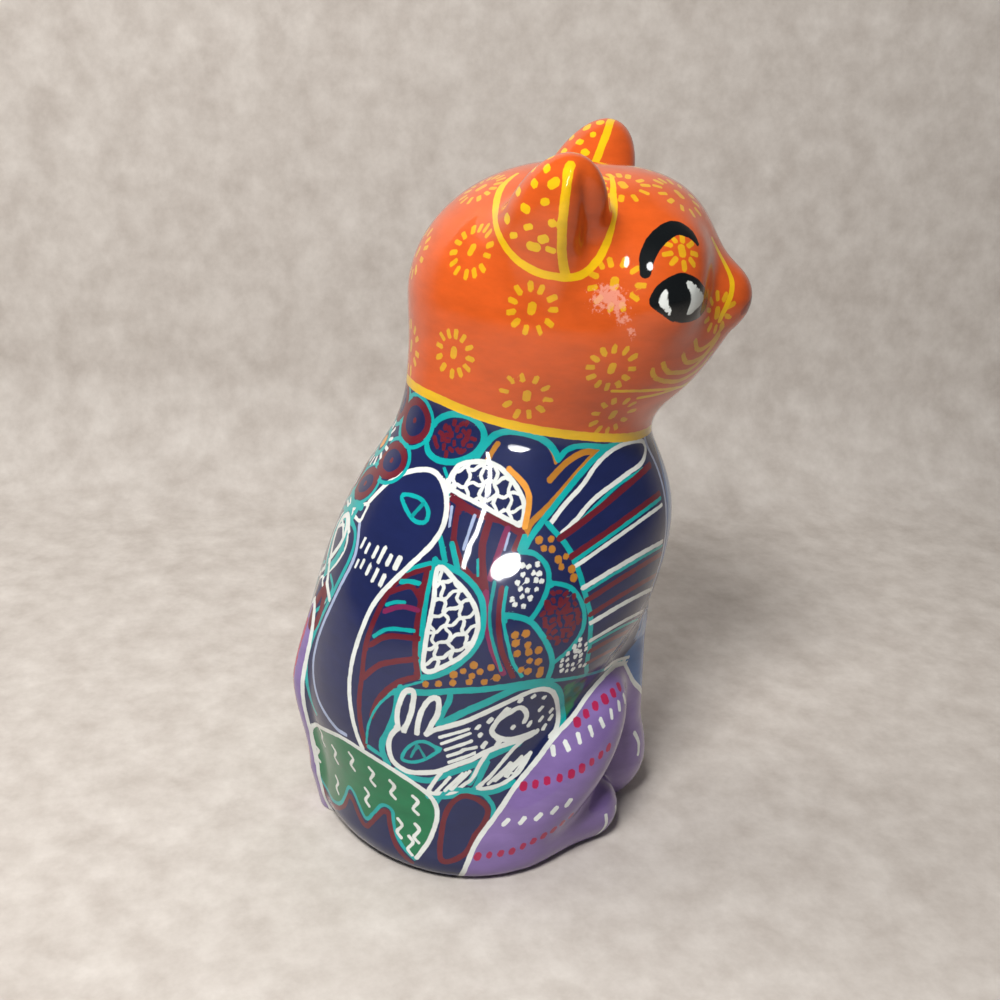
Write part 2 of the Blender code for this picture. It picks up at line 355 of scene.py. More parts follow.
# %% Maps from drawing to clay
def body_rays(path):
    """Level rays out of the torso's axis for places (angle in degrees, height)."""
    angle, z = np.radians(path[:, 0]), path[:, 1]
    axis = (profile(z, BACK) + profile(z, FRONT)) / 2.0
    starts = np.stack([0 * z, axis, z], -1)
    return starts, np.stack([-np.sin(angle), -np.cos(angle), 0 * z], -1)


def head_rays(path):
    """Rays out of the head's middle for places (angle around, angle up), both in degrees."""
    around, up = np.radians(path[:, 0]), np.radians(path[:, 1])
    ways = np.stack([-np.sin(around) * np.cos(up), -np.cos(around) * np.cos(up), np.sin(up)], -1)
    return np.tile(HEAD_CENTRE, (len(path), 1)), turn(ways, -HEAD_TURN, 2)


def ear_rays(side):
    """A map of one ear: degrees around it from its outer face towards its back, and mm up."""
    def made(path):
        around = np.radians(path[:, 0])
        start = np.stack([0 * around, 0 * around, path[:, 1]], -1)
        way = np.stack([side * np.cos(around), np.sin(around), 0 * around], -1)
        start = turn(turn(start, EAR_LEAN, 0), side * EAR_TILT, 1) + np.array(EAR_AT) * (side, 1, 1)
        way = turn(turn(way, EAR_LEAN, 0), side * EAR_TILT, 1)
        return turn(start, -HEAD_TURN, 2) + HEAD_CENTRE, turn(way, -HEAD_TURN, 2)
    return made


# each map, and whether its rays stop where they first leave the clay
MAPS = {"body": (body_rays, False), "head": (head_rays, False),
        "right ear": (ear_rays(-1), True), "left ear": (ear_rays(1), True)}


DEGREE = 0.01745           # one degree, in radians
HEAD_REACH = 33.5          # millimetres from the head's middle to its surface
EAR_DEGREE = 0.18          # millimetres for one degree around an ear
UP_STEP = {"body": 1.0, "head": HEAD_REACH * DEGREE, "right ear": 1.0, "left ear": 1.0}


def degree(where, v):
    """Millimetres along the surface for one degree around, at a height or an angle up."""
    if where == "body":
        reach = (profile(v, HALF_WIDTH) + (profile(v, BACK) - profile(v, FRONT)) / 2.0) / 2.0
        return reach * DEGREE
    return HEAD_REACH * DEGREE * np.cos(np.radians(v)) if where == "head" else EAR_DEGREE


print("one degree round the belly is", round(float(degree("body", 45.0)), 2), "mm")


# %% [markdown]
# ## Brush strokes
#
# Everything drawn is a stroke: a smooth path on a map, a width that may change along it, and an
# ink. A dab is a very short stroke and a petal is a fat one. Strokes are kept in the order they
# are painted, so a later one covers an earlier one, as on the real cat.

# %% Strokes and the patterns made of them
rng = np.random.default_rng(5)
strokes = []             # in painting order: (map, path, half widths, ink, closed)
FULL_TURN = 6.28         # once around, in radians
LOOSE = 0.18             # how far a dot may stray from its place, in spacings
ROW_STEP = 0.87          # from one staggered row of dots to the next, in spacings
NET_WAVE = (1.15, 0.13)  # length and depth of a net line's waves, in cells
THINNEST = 0.12          # millimetres, the least half width of a stroke


def path(text):
    """Places on a map, written as 'across,up across,up ...'."""
    return np.array([[float(v) for v in pair.split(",")] for pair in text.split()])


def as_drawn(places):
    """Places written as text or given as numbers, on the side where they were drawn."""
    return path(places) if isinstance(places, str) else np.asarray(places, dtype=float)


def mirrored(places):
    """The same places on the cat's other side."""
    return as_drawn(places) * (-1.0, 1.0)


def smooth(points, closed, steps=6):
    """A smooth curve through the points, with some steps from each to the next."""
    n = len(points)
    if n < 3:
        return points
    out = []
    for i in range(n if closed else n - 1):
        near = [points[(i + k) % n if closed else min(max(i + k, 0), n - 1)] for k in (-1, 0, 1, 2)]
        out += [between(*near, t) for t in np.arange(steps) / steps]
    if not closed:
        out.append(points[-1])
    return np.array(out)


def inside(outline, points):
    """Which points lie inside a closed outline, on the same map."""
    x, y = points[..., 0], points[..., 1]
    odd = np.zeros(x.shape, dtype=bool)
    for (x0, y0), (x1, y1) in zip(outline, np.roll(outline, -1, 0)):
        if y0 != y1:
            cross = x0 + (y - y0) * (x1 - x0) / (y1 - y0)
            odd ^= ((y0 > y) != (y1 > y)) & (x < cross)
    return odd


def brush(ink, width, places, where="body", closed=False):
    """One stroke. A width may be a list, one for each place."""
    places = as_drawn(places)
    half = np.broadcast_to(np.asarray(width, dtype=float) / 2.0, (len(places),))
    rows = smooth(np.column_stack([places, half]), closed)
    strokes.append((where, rows[:, :2], np.maximum(rows[:, 2], THINNEST), ink, closed))


def dab(ink, size, at, long=0.0, lean=90.0, where="body"):
    """A dot, or a short dab of some length that leans by degrees from level."""
    k, up = float(degree(where, at[1])), UP_STEP[where]
    way = np.array([-math.cos(math.radians(lean)) / k, math.sin(math.radians(lean)) / up])
    ends = np.array([at - way * long / 2.0, at + way * long / 2.0]) if long else np.array([at])
    brush(ink, size, ends, where)


def round_dots(ink, size, spacing, outline, long=0.0):
    """Staggered rows of dots, or of dabs of some length that lean any way, inside an outline."""
    outline = smooth(outline, True, 3)
    low, high = outline.min(0), outline.max(0)
    k = float(degree("body", (low[1] + high[1]) / 2.0))
    for row, y in enumerate(np.arange(low[1], high[1] + 0.01, spacing * ROW_STEP)):
        for x in np.arange(low[0] + (row % 2) * spacing / k / 2.0, high[0] + 0.01, spacing / k):
            at = np.array([x, y]) + rng.uniform(-LOOSE, LOOSE, 2) * spacing / (k, 1.0)
            if inside(outline, at):
                dab(ink, size * rng.uniform(0.85, 1.12), at, long, rng.uniform(0, 180))


def dabs_along(ink, size, spacing, places, long=0.0, lean=90.0):
    """Dabs at even steps along a path."""
    line = smooth(as_drawn(places), False)
    steps = np.hypot(np.diff(line[:, 0]) * degree("body", line[1:, 1]), np.diff(line[:, 1]))
    run = np.concatenate([[0.0], np.cumsum(steps)])
    for s in np.arange(0.0, run[-1] + 0.01, spacing):
        at = np.array([np.interp(s, run, line[:, 0]), np.interp(s, run, line[:, 1])])
        dab(ink, size * rng.uniform(0.85, 1.1), at, long, lean + rng.uniform(-8, 8))


def netting(width, cell, slants, outline):
    """Two families of wavy slanting lines that cross in a net, inside an outline."""
    outline = smooth(outline, True, 3)
    low, high = outline.min(0), outline.max(0)
    middle = (low + high) / 2.0
    k = float(degree("body", middle[1]))
    reach = math.hypot((high[0] - low[0]) * k, high[1] - low[1]) / 2.0
    along = np.arange(-reach, reach, 0.7)
    for ink, lean in zip(("white", "net white"), slants):
        c, s = math.cos(math.radians(lean)), math.sin(math.radians(lean))
        for offset in np.arange(-reach, reach, cell):
            phase = along * FULL_TURN / (cell * NET_WAVE[0]) + offset
            bend = offset + np.sin(phase) * cell * NET_WAVE[1]
            line = middle + np.stack([(along * c - bend * s) / k, along * s + bend * c], -1)
            kept = inside(outline, line)
            for part in np.split(np.arange(len(line)), np.nonzero(np.diff(kept))[0] + 1):
                if kept[part[0]] and len(part) > 2:
                    brush(ink, width, line[part])


def ring(at, across, up, count=12, lean=0.0):
    """Places on an oval around a centre, its half sizes in millimetres."""
    t = np.radians(np.linspace(0.0, 360.0, count, endpoint=False))
    c, s = math.cos(math.radians(lean)), math.sin(math.radians(lean))
    x, y = np.cos(t) * across, np.sin(t) * up
    k = float(degree("body", at[1]))
    return np.stack([at[0] + (x * c - y * s) / k, at[1] + x * s + y * c], -1)


def brushed_in(ink, width, outline):
    """A small area of the head brushed in: strokes around it, each inside the last."""
    scale = np.array([float(degree("head", outline[:, 1].mean())), UP_STEP["head"]])
    middle = (outline * scale).mean(0)
    spokes = outline * scale - middle
    reach = np.linalg.norm(spokes, axis=1, keepdims=True)
    for inset in np.arange(width / 2.0, reach.max(), width * 0.4):
        inner = middle + spokes * np.maximum(1.0 - inset / reach, 0.0)
        brush(ink, width, inner / scale, "head", closed=True)


print("brushes ready")

# %% [markdown]
# ## Grounds
#
# Before any drawing, the large areas are laid in flat: navy over the body, orange over the head,
# lilac over the haunches, feet and tail, blues over the chest and forelegs, and green for a leaf
# at the foot of the back and a patch above each haunch. Their edges are drawn over afterwards, so
# one colour for each point of the skin is enough here.

# %% Outlines of the grounds
BAND = path("-180,107.5 -150,107 -120,104.5 -100,103 -80,101.5 -50,99 -30,98 0,97.3 "
            "30,98 50,99 80,101.5 100,103 120,104.5 150,107 180,107.5")
HAUNCH_LINE = path("102.6,-1 101.4,2.7 99.7,7.2 96.3,11.3 90,17.3 82.5,23.7 74.2,28.5 66.5,32.9 "
                   "59.1,36.6 51.6,40.4 43.4,42.4 36,42.6 29.5,41.5")
CUFF = path("27,38.5 24,35 20,31.5 16,28.5 8,26 0,25")
HAUNCH = np.vstack([HAUNCH_LINE, CUFF, path("0,-4 103,-4")])
FORELEG = np.vstack([path("31,43"), CUFF, path("0,46 16,47.5 27,46.5")])
PATCH = path("69,46 57.9,44.9 55.8,41.6 60,38 62.4,36 65.5,41.1")
CHEST = path("0,45 16,47 28,46.5 31,55 33,70 31,80 27,86 22,92 18,99 0,99")
LEAF = path("175,14 175,20 171,25 163,27 149,29 136,28 126,26 116.5,23 111.5,20 110.5,16 113,10 "
            "118,4.5 122,6.5 125,9 126.5,12 127,14.5 129,15.5 132,15 135.5,12 139,9.5 143,12 "
            "146,14.5 149,15 152,11.5 156,8 163.5,6.5 171,8 174,11.5")
TAIL = path("171,-3 173.5,10 174,30 174.5,46 177,53 180,55.5 183,53 185.5,46 186,30 186.5,10 189,-3")


# %% Lay the grounds on the skin's points
def body_places(p):
    """Angle and height of points of the skin."""
    axis = (profile(p[..., 2], BACK) + profile(p[..., 2], FRONT)) / 2.0
    return np.stack([np.degrees(np.arctan2(-p[..., 0], axis - p[..., 1])), p[..., 2]], -1)


places = body_places(skin_grid)
ground = np.empty(skin_grid.shape)
ground[:] = linear(INKS["navy"])
AREAS = ((CHEST, "sky"), (FORELEG, "sea"), (HAUNCH, "lilac"), (LEAF, "green"), (PATCH, "green"))
for seen in (places, mirrored(places)):
    for outline, ink in AREAS:
        ground[inside(outline, seen)] = linear(INKS[ink])
    tail_seen = np.stack([np.abs(seen[..., 0]), seen[..., 1]], -1)
    ground[inside(TAIL, tail_seen) & (seen[..., 0] > 90)] = linear(INKS["lilac"])
above = places[..., 1] > np.interp(places[..., 0], BAND[:, 0], BAND[:, 1])
ground[above] = linear(INKS["orange"])
print("points above the neck band:", int(above.sum()))

# %% [markdown]
# ## The drawing on the body
#
# Each side carries the same kind of picture: a bird at the back, a crested fan of rays opening
# towards the chest, a long-eared beast under it, a net-filled leaf and cells full of dots between
# them. They are stock figures of this kind of painting, drawn here with the plainest curves that
# give them. The far side has the same figures turned about, with fewer dabs in them.

# %% Figures of one side, in painting order
FIGURES = [
    # the arches under the neck band
    ("rust", 1.1, "124,96 122,98 120,99.5", False),
    ("rust", 0.8, "95.5,100 93,98 91.5,96", False),
    ("teal", 1.5, "129,96.5 126,99 121,101.5 112,102.5 101,101.5 94,99.5 90,96.5", False),
    ("teal", 1.3, "90,96.5 85,98.5 77,99 63,98 48,98 38,97.5", False),
    ("rust", 1.4, "94.5,92.5 87,95.5 77,97.5 69,97", False),
    ("rust", 1.35, "70,97 78,94.5 87,91 96,87 102,84 103.5,81", False),
    # the fan's first leaf, hub and outer edge
    ("teal", 1.35, "62,98 74,95 85,91 94,86.5 100,82.5 103,79", False),
    ("teal", 0.8, "43,91 59,90 74,86.5 85,82.5", False),
    ("white", 1.05, "94,84 88,87.5 79,91 69,95 55,97.5 40,97 34.5,95 41,92.5 57,91 74,88 "
                    "84,84 89,82", False),
    ("teal", 1.3, "95,84 87,79.5 81,74 77,69 72,63 69.5,58 64,50.5 60.5,47.5", False),
    ("teal", 0.9, "78,48.5 68,47.5 56,46 41,43.5 29,42.5", False),
    ("white", 0.8, "44,44 36,43.5 28,42.5", False),
    ("mist", 1, "35,98 30,90 32,80 33.5,71 35,61 28,53 27,48", False),
    # the crest's skirt of stripes
    ("maroon", 1.7, "135,88 123,85.5 113,84.5 104.5,82", False),
    ("crimson", 0.6, "135,86.5 134,84 134,81.5", False),
    ("mist", 0.6, "133.5,86 132,82.5", False),
    ("maroon", 1.2, "131,86 130,82.5 128.5,79", False),
    ("mist", 0.7, "124,85 124.5,78.5", False),
    ("maroon", 1.6, "118,84.5 118,78.5 113,70.5", False),
    ("teal", 0.6, "118.5,76.5 117,73.5", False),
    ("plum", 1.3, "110.5,83 112,78 112.5,73", False),
    ("mist", 0.5, "109.5,82 110,79", False),
    ("maroon", 1.2, "105,82.5 106.5,79", False),
    ("maroon", 1.3, "129,80 123,75 116,72 113,70.5", False),
    ("plum", 1.35, "112.5,70 108.5,63 104,57.5 97,52", False),
    ("deep teal", 0.75, "110.5,72 109,65.5 105,59.5 98.5,53", False),
    ("maroon", 1.25, "107.5,71 105.5,64.5 101,57.5 93,51", False),
    # the cells between skirt and fan, and the line under them
    ("teal", 0.8, "106,71 104.5,65.5 101,60.5 96,55 90,51", False),
    ("teal", 1.35, "104.5,65.5 95,64 87,59 81,53.5 79,49", False),
    ("teal", 1.1, "91.5,72 83,70.5 76.5,66 74,61 76,56.5 80,53.5", False),
    ("teal", 1.15, "104,78.5 98.5,78 93,75 91.5,71 93,66.5 95,64", False),
    ("teal", 1.2, "103.5,81.5 104.5,79", False),
    ("teal", 1.5, "131,45 126.5,46 119,46.5 111,47.5 103,48 95,48.5 85,49 77.5,48.5", False),
    # round the net-filled leaf
    ("teal", 1.35, "132,75 123,73.5 115,70 111,65.5 109.5,59.5 113,54 118,51 122.5,50", False),
    ("teal", 1.3, "133,75.5 131.5,68 128,59 125,52 123.5,50", False),
    # the bird: striped wing, throat, head, beak and eye, and its far wing
    ("maroon", 1.3, "134,73.5 140,71.5 144,68 146,61 146,54 143,46 141,39.5 136.5,30", False),
    ("maroon", 1.3, "134.5,73.5 133,68 130.5,60 128,55 124,50", False),
    ("teal", 0.9, "134.5,74.5 139,73 141,72", False),
    ("teal", 1.1, "141.5,69.5 138.5,70 135.5,70", False),
    ("maroon", 1.2, "144.5,66.5 138,69 133,67", False),
    ("teal", 0.8, "143.5,64 141,65 138,65.5", False),
    ("plum", 1.15, "143.5,62.5 138,64.5 132.5,64.5", False),
    ("teal", 0.9, "144,56.5 140,59 131.5,60", False),
    ("maroon", 1.3, "144,54.5 139,57.5 129,58.5", False),
    ("maroon", 1.3, "142,47 137.5,51 127,54", False),
    ("maroon", 1.35, "124,50 130,47.5 134,43 135,38", False),
    ("teal", 0.6, "122,49 128,46.5 133,42 135.5,36.5 136,31", False),
    ("teal", 1.1, "135,30 128.5,28.5", False),
    ("teal", 1.2, "134,80 129.5,75.5", False),
    ("teal", 1.3, "129,79 124.5,74.5", False),
    ("teal", 0.75, "142,93 138,90.5 136.5,88", False),
    ("teal", 1.1, "178,76.5 169,75 166,70 168.5,61.5 172,53 174,45 173,38.5 169.5,32 166,30", False),
    ("mist", 1.0, "169,77.5 165,73 164,69 166.5,61 170,50 169.5,41.5 163,35 152,31 146,30.5", False),
    ("white", 1.2, "169,82 164,87.5 156,91 146,92 138.5,89 134.5,84 135.5,79 141.5,72.5 "
                   "147.5,65 149.5,58 149,49 146,41 140,31.5 138,29", False),
    ("white", 0.85, "178.5,77.5 174,79.5 169,81.5 168.5,79.5 169,77.5 173.5,77.5", True),
    ("teal", 0.95, "155,86 148,86.5 142.5,85 141,82.5 145,82 150,83.5", True),
    ("deep teal", 0.9, "145,85.5 147,83", False),
    ("teal", 0.9, "188,70 181,75 174.5,75.5", False),
    ("white", 0.8, "187,57 179,62 173,66.5 171,71 174.5,74 181,73.5 186,71", False),
    ("maroon", 1.6, "175.5,61 177.5,56", False),
    ("teal", 0.9, "174.5,63 170,61 173,56.5 176.5,53.5", False),
    ("teal", 1.6, "186,80 185,75 186,71.5", False),
    # the long-eared beast
    ("teal", 1.6, "128,46.5 128,44.5 127,41.5 127,38 128,35 129.5,32.5 129.5,30 127.5,27", False),
    ("teal", 1.75, "110.5,39 103.5,42.5 97,45 92,47 88.5,48 82,48 77,47.5 71,45 66,41 63,37 "
                   "63.5,35", False),
    ("teal", 1.35, "111,39 111,41.5 110.5,44.5 111,46.5", False),
    ("teal", 1.45, "124,26 118,25 112,25 107.5,26.5 100,28.5 93.5,30", False),
    ("teal", 1.45, "113,21 106,21.5 100.5,23 96,22.5 90,22.5 83.5,24", False),
    ("teal", 1.6, "98.5,25 95.5,28 93,30.5 87,32 80.5,33", False),
    ("teal", 1.25, "92,29.5 94.5,26.5 97,23.5", False),
    ("white", 1.25, "110.5,38 102.5,40 95.5,42.5 88.5,45 83,46.5 78.5,46.5 73.5,45 68.5,41.5 "
                    "65,37.5 65.5,34.5 68,33", False),
    ("white", 1.25, "124.5,37 126.5,34.5 127,32 126,29 124,27.5 120.5,26.5 116.5,26.5 "
                    "109,27.5 104,29 98,30.5 91.5,32.5 85,33.5 78,34 73.5,35", False),
    ("white", 1.25, "124.5,37 126,40 126.5,43.5 126,46 124,46.5 122.5,45 121.5,41.5 121.5,39 "
                    "122,36.5", False),
    ("white", 1.25, "117.5,36.5 118,39 118,42.5 117,45 115.5,45.5 114,45 112.5,42 113,39.5 "
                    "114,36.5", False),
    ("white", 1.25, "114,36.5 112,37.5 110.5,38", False),
    ("teal", 0.8, "122,29.5 120.5,32 117.5,34 114,34.5 110.5,33.5 108.5,33 111,31.5 114,30 "
                  "118,29 121,29", True),
    ("deep teal", 0.6, "118.5,30.5 117,33", False),
    ("deep teal", 0.6, "116.5,33.5 113.5,30.5", False),
    ("white", 1.25, "80,38.5 80,40 82.5,42 85,42.5 87.5,41.5 90,40.5 91.5,38.5 91.5,37 "
                    "89,35.5 84.5,34.5 80.5,34.5 75,35", False),
    ("white", 1.25, "90.5,40.5 89,42.5", False),
    ("white", 0.95, "108.5,27 110.5,25 113,22 109,22 104.5,22.5 100.5,24.5 97.5,26 94.5,29.5 "
                    "92,32", False),
    ("white", 0.95, "78,34 82.5,32 87,29 91.5,26 96,23.5 90,23.5 85.5,24.5 80.5,26.5 76,30", False),
    # the green leaf at the foot, the petal beside it and the zigzag under it
    ("maroon", 1.3, "173.5,8.5 169,4.5 160,5.5 153,8.5 149.5,12.5 146.5,12 143.5,9.5 139,7.5 "
                    "135,10.5 131.5,13.5 129,14 128,11 126,7.5 123,5 119,3", False),
    ("teal", 0.9, "174,11.5 171,8 163.5,6.5 156,8 152,11.5 149,15 146,14.5 143,12 139,9.5 "
                  "135.5,12 132,15 129,15.5 127,14.5 126.5,12 125,9 122,6.5 118,4.5", False),
    ("maroon", 1.3, "108.5,5.5 109,12 107,18 102,21.5 97,21 93.5,18.5 94.5,15.5 98,12 "
                    "101.5,7.5", True),
    ("teal", 1, "110.5,19.5 106,23 99.5,23 94.5,22 91.5,19 92,16.5", False),
    ("white", 1.1, "174.5,13.5 174.5,20.5 171,25 163,27 149,29 136,28 126,26 116.5,23 "
                   "111.5,20 110.5,16 113,10 117,5", False),
    # edge of the haunch
    ("white", 1.2, "102.5,-1 101.5,2.5 99.5,7 96.5,11.5 90,17.5 82.5,23.5 74,28.5 66.5,33 "
                   "59,36.5 51.5,40.5 43.5,42.5 36,42.5 29.5,41.5", False),
]
# the fan's rays: ink, width, height at the hub and height at the outer edge
RAYS = (("maroon", 1.5, 81, 91), ("maroon", 1.5, 77, 84.5), ("teal", 0.9, 76, 83.5),
        ("white", 0.9, 75, 82), ("maroon", 1.3, 67, 70.5), ("teal", 0.8, 69, 72.5),
        ("white", 1.1, 70, 73.5), ("maroon", 1.2, 63.5, 65.5), ("white", 1.15, 61.5, 62),
        ("maroon", 1.4, 54, 51.5), ("teal", 0.8, 56, 54.5), ("white", 1.0, 57, 56.5),
        ("maroon", 1.2, 50.5, 47))
HUB = path("61.5,47.5 66,50.5 71,58 74,63 79,69 83,74 89,79.5 97,84")
RAY_END, RAY_BULGE = 36.0, 1.9
print(len(FIGURES), "strokes in one side's figures, and", len(RAYS), "rays")


# %% Nets, dots and dabs of one side
CREST_DOME = "138,90 133.5,89 121.5,87 109.5,84.5 105.5,84 105.5,88 111,92 119,95 128,95.5 136.5,94"
NET_LEAF = "131,74 124,72 116,68 111.5,63 112,57.5 116,54 122.5,51.5 126,57.5 128.5,67"
SPECKLED = (141, 99.6)                # middle of the speckled oval under the neck band
# cells full of dots: ink, size, spacing and outline
DOTTED = (("white", 1.15, 1.9,
           "102.5,76.5 99,77 95.5,75.5 94,72 94.5,68.5 97,66 100,66 102.5,67.5 103.5,71"),
          ("white", 1.05, 1.75, "72.5,59 74.5,57.5 77,55 78,52 76.5,50 70,49.5 63.5,49 66.5,52 69.5,56"),
          ("rust", 1.6, 2.4,
           "95,82.5 100,79.5 96.5,79 92.5,77.5 90,74.5 84,72 80.5,70.5 83,74 87,77.5 91,80.5"),
          ("rust", 1.65, 2.4, "101,63.5 96,62 90,59 86,55.5 83,52 84,50.5 89,51 93,54 97,58 99.5,61"))
SCALY = "90,70.5 84,70 79,67 76.5,63 77,59.5 80,57 84,58.5 88.5,61.5 91.5,63.5 90.5,67"
RUST_DOTS = ("120.5,48.5 116.5,49 112,49.5 107,50 102,50 98.5,51 113,51.5 110.5,52.5 108,54 107,51.5 "
             "105,52.5 102,53.5")
# the bird's collar: size, length and place of each dab
COLLAR = ((0.85, 1.8, 162.5, 74), (0.9, 1.6, 159.5, 73.5), (1.0, 1.9, 155.5, 73.5), (1.05, 3.0, 152.5, 73.5),
          (1.15, 1.7, 149, 73), (1.4, 2.0, 145.5, 73), (0.75, 1.4, 161.5, 69.5), (0.8, 1.4, 159, 70),
          (1.0, 1.6, 155.5, 69.5), (1.0, 2.4, 152, 69), (1.2, 1.9, 148.5, 68.5))
BEAST_BARS = ("109,36 100.5,38", "108,34.5 99.5,37", "106.5,33 98.5,35", "105.5,31.5 101.5,32.5",
              "100.5,33 96.5,33.5", "105,30 97,32", "110,22.5 105.5,26", "107,23 101,27",
              "104.5,23.5 98.5,27.5", "92,24.5 84,28.5", "89.5,25 79.5,29.5", "85.5,26 76.5,30")
BEAST_DOTS = ("97,38.5 95.5,36.5 93.5,34 93.5,40 88.5,34 85.5,44.5 81,45 76,44 75,41 69.5,39.5 "
              "68.5,37.5 70.5,35.5 77.5,37.5 73,38 84,37.5")
SQUIGGLES = ("165.5,23.5 155.5,22 173,16.5 144.5,23.5 158,12.5 135,22 138.5,15.5 126.5,20.5 118,18 "
             "124,11 117.5,11 119.5,7.5")
# rows of dabs on the haunch: ink, size, spacing, length, lean and path
HAUNCH_ROWS = (("crimson", 1.75, 2.6, 0.5, 70.0, "58.6,35.2 55.1,36.6 51.8,37.6 48.1,38.4 44.5,38.9 36,39.4"),
               ("white", 1.05, 2.85, 1.3, 84.0,
                "68.4,30.1 64.1,31 60.4,32.2 56.4,33.3 52.9,34.2 49,35.2 44.3,36.1 38,36.4"),
               ("crimson", 1.6, 2.4, 0.5, 70.0,
                "80.4,23.1 77.2,23.4 73.6,24.1 66.8,25.1 62.7,26 58.2,27.1 51.3,28.7"),
               ("white", 1.25, 3.3, 1.2, 50.0, "87.9,15.2 82.9,15.5 78,16.2 74,17 70,18 64.9,19.1"),
               ("crimson", 1.5, 2.4, 0.4, 70.0,
                "97,7.1 89.5,7.6 86.2,7.9 79,9.7 71.9,11.3 68.6,12.4 64.9,13.7"))
print(len(DOTTED) + 2, "dotted cells and", len(HAUNCH_ROWS), "rows of dabs")


# %% Paint both sides
def side_of_body(put, full):
    """One side's picture: put turns a place on the right side into one on this side."""
    tilt = 1.0 if full else -1.0
    for ink, width, places, closed in FIGURES:
        brush(ink, width, put(places), closed=closed)
    share = np.linspace(0.0, 1.0, 6)
    for ink, width, low, high in RAYS:
        start = np.interp(low, HUB[:, 1], HUB[:, 0]) - 2.0
        rise = low + (high - low) * share + RAY_BULGE * 4 * share * (1 - share)
        brush(ink, width, put(np.stack([start + (RAY_END - start) * share, rise], -1)))
    brush("teal", 1.45, put(ring(SPECKLED, 7.0, 5.0, lean=-20)), closed=True)
    for outline, slants in ((CREST_DOME, (80.0, -12.0)), (NET_LEAF, (62.0, -35.0))):
        netting(0.75, 3.2, np.array(slants) * tilt, put(outline))
        brush("white", 1.1, put(outline), closed=True)
    brush("amber", 1.3, put("113.5,94.5 107,92 103.5,89 104,83.5"))
    for ink, size, spacing, outline in DOTTED:
        round_dots(ink, size, spacing, put(outline))
    for at in put(RUST_DOTS):
        dab("rust", rng.uniform(1.4, 1.8), at)
    for outline in (SCALY, ring(SPECKLED, 5.3, 3.5, lean=-20)):
        round_dots("maroon", 1.0, 1.6, put(outline), long=0.4)
    for size, long, x, z in COLLAR:
        dab("white", size, put([(x, z)])[0], long, 90.0 - 6.0 * tilt)
    for bar in BEAST_BARS if full else BEAST_BARS[:6]:
        brush("white", 0.8, put(bar))
    for at in put(BEAST_DOTS):
        dab("white", rng.uniform(0.95, 1.2), at, rng.uniform(0.0, 0.8), 60.0 * tilt)
    t = np.linspace(0.0, 1.0, 5)
    for x, y in path(SQUIGGLES):
        if full or y > 16:
            curl = np.stack([x + np.sin(t * FULL_TURN) * 1.3 + (t - 0.5) * 1.2, y + (t - 0.5) * 4.2], -1)
            brush("white", 0.8, put(curl))
    for ink, size, spacing, long, lean, line in HAUNCH_ROWS:
        dabs_along(ink, size, spacing, put(line), long, lean * tilt)


side_of_body(as_drawn, True)
side_of_body(mirrored, False)
print(len(strokes), "strokes on the two sides")

# %% Paint the middle of the back, the tail and the front
FLOWER = np.array((188.0, 92.0))
PETALS_OUT = 10.5                     # millimetres from the flower's middle to a petal's
# each petal's middle, its half sizes and its lean
PETALS = [((166, 100.5), 4.4, 4.2, 0), ((170, 91), 4.2, 3.1, 0), ((178.5, 84), 4.1, 2.8, -25)]
for angle in (-105, -150, 165, 120, 80):
    way = np.array((math.cos(math.radians(angle)) / -0.5, math.sin(math.radians(angle))))
    PETALS.append((FLOWER + way * PETALS_OUT, 4.0, 3.0, 180 - angle))
for spot, across, up, lean in PETALS:
    brush("teal", 0.95, ring(spot, across + 1.5, up + 1.5, 12, lean=lean), closed=True)
for spot, across, up, lean in PETALS:
    brush("maroon", 1.8, ring(spot, across, up, 10, lean=lean), closed=True)
    dab("maroon", 1.2, spot)
brush("navy", 10.5, [FLOWER])
brush("teal", 1.7, ring(FLOWER, 2.8, 2.8), closed=True)
for spot in ring(FLOWER, 4.5, 4.5, 14):
    way = (spot - FLOWER) * (-float(degree("body", FLOWER[1])), 1.0)
    dab("white", 0.9, spot, 1.0, math.degrees(math.atan2(way[1], way[0])))
brush("amber", 3.2, [FLOWER])
for put in (as_drawn, mirrored):
    brush("teal", 1.8, put("188,80 181,79 174.5,73.5 174,68 180,62"))
    brush("white", 1.3, put("187,74 181,76.3 175.8,74 175.5,70.5 180,65.5 185,61 190,58.5"))
    brush("maroon", 1.8, put("175,60 178,55.5 177.5,50.5 174.8,50 173.6,54.5"), closed=True)
    brush("white", 1.3, put("171.5,-1 173.6,10 174,30 174.4,46 177,53 180,55.4"))
    brush("white", 1.2, put("29.5,41.5 27,38.5 24,35 20,31.5 16,28.5 8,26 0,25"))
    for x, low, high in ((3, 6, 14), (9, 6, 15), (15.5, 8, 17), (22.3, 14, 20)):
        brush("white", 1.1, put(f"{x},{low} {x - 0.6},{(low + high) / 2} {x + 0.4},{high}"))
    for x in (36, 42, 48):
        brush("white", 1.0, put(f"{x},1.5 {x - 0.8},4.5 {x - 0.2},7.5"))
    brush("sea", 1.4, put("28,50 30.5,56 31.5,64 31.5,72 30,80 26,86 21,92 17.5,98"))
    brush("sea", 1.6, put("0,88 8,92 15,90 14,84 7,78 0,73"))
    brush("white", 1.1, put("0,83.5 5,86.5 9,86 8.5,82.5 4.5,79.5 0,77"))
    for z in (68, 62, 56):
        brush("white", 1.3, put(f"3,{z} 9,{z + 2.6} 17,{z + 3} 25,{z + 1.4}"))
dabs_along("crimson", 1.6, 3.1, "180,6 180,16 180,30 180,42 180,50", 1.4, 90.0)
dabs_along("white", 1.2, 3.4, "0,51 0,58 0,66 0,70", 0.0)
print(len(strokes), "strokes on the body")

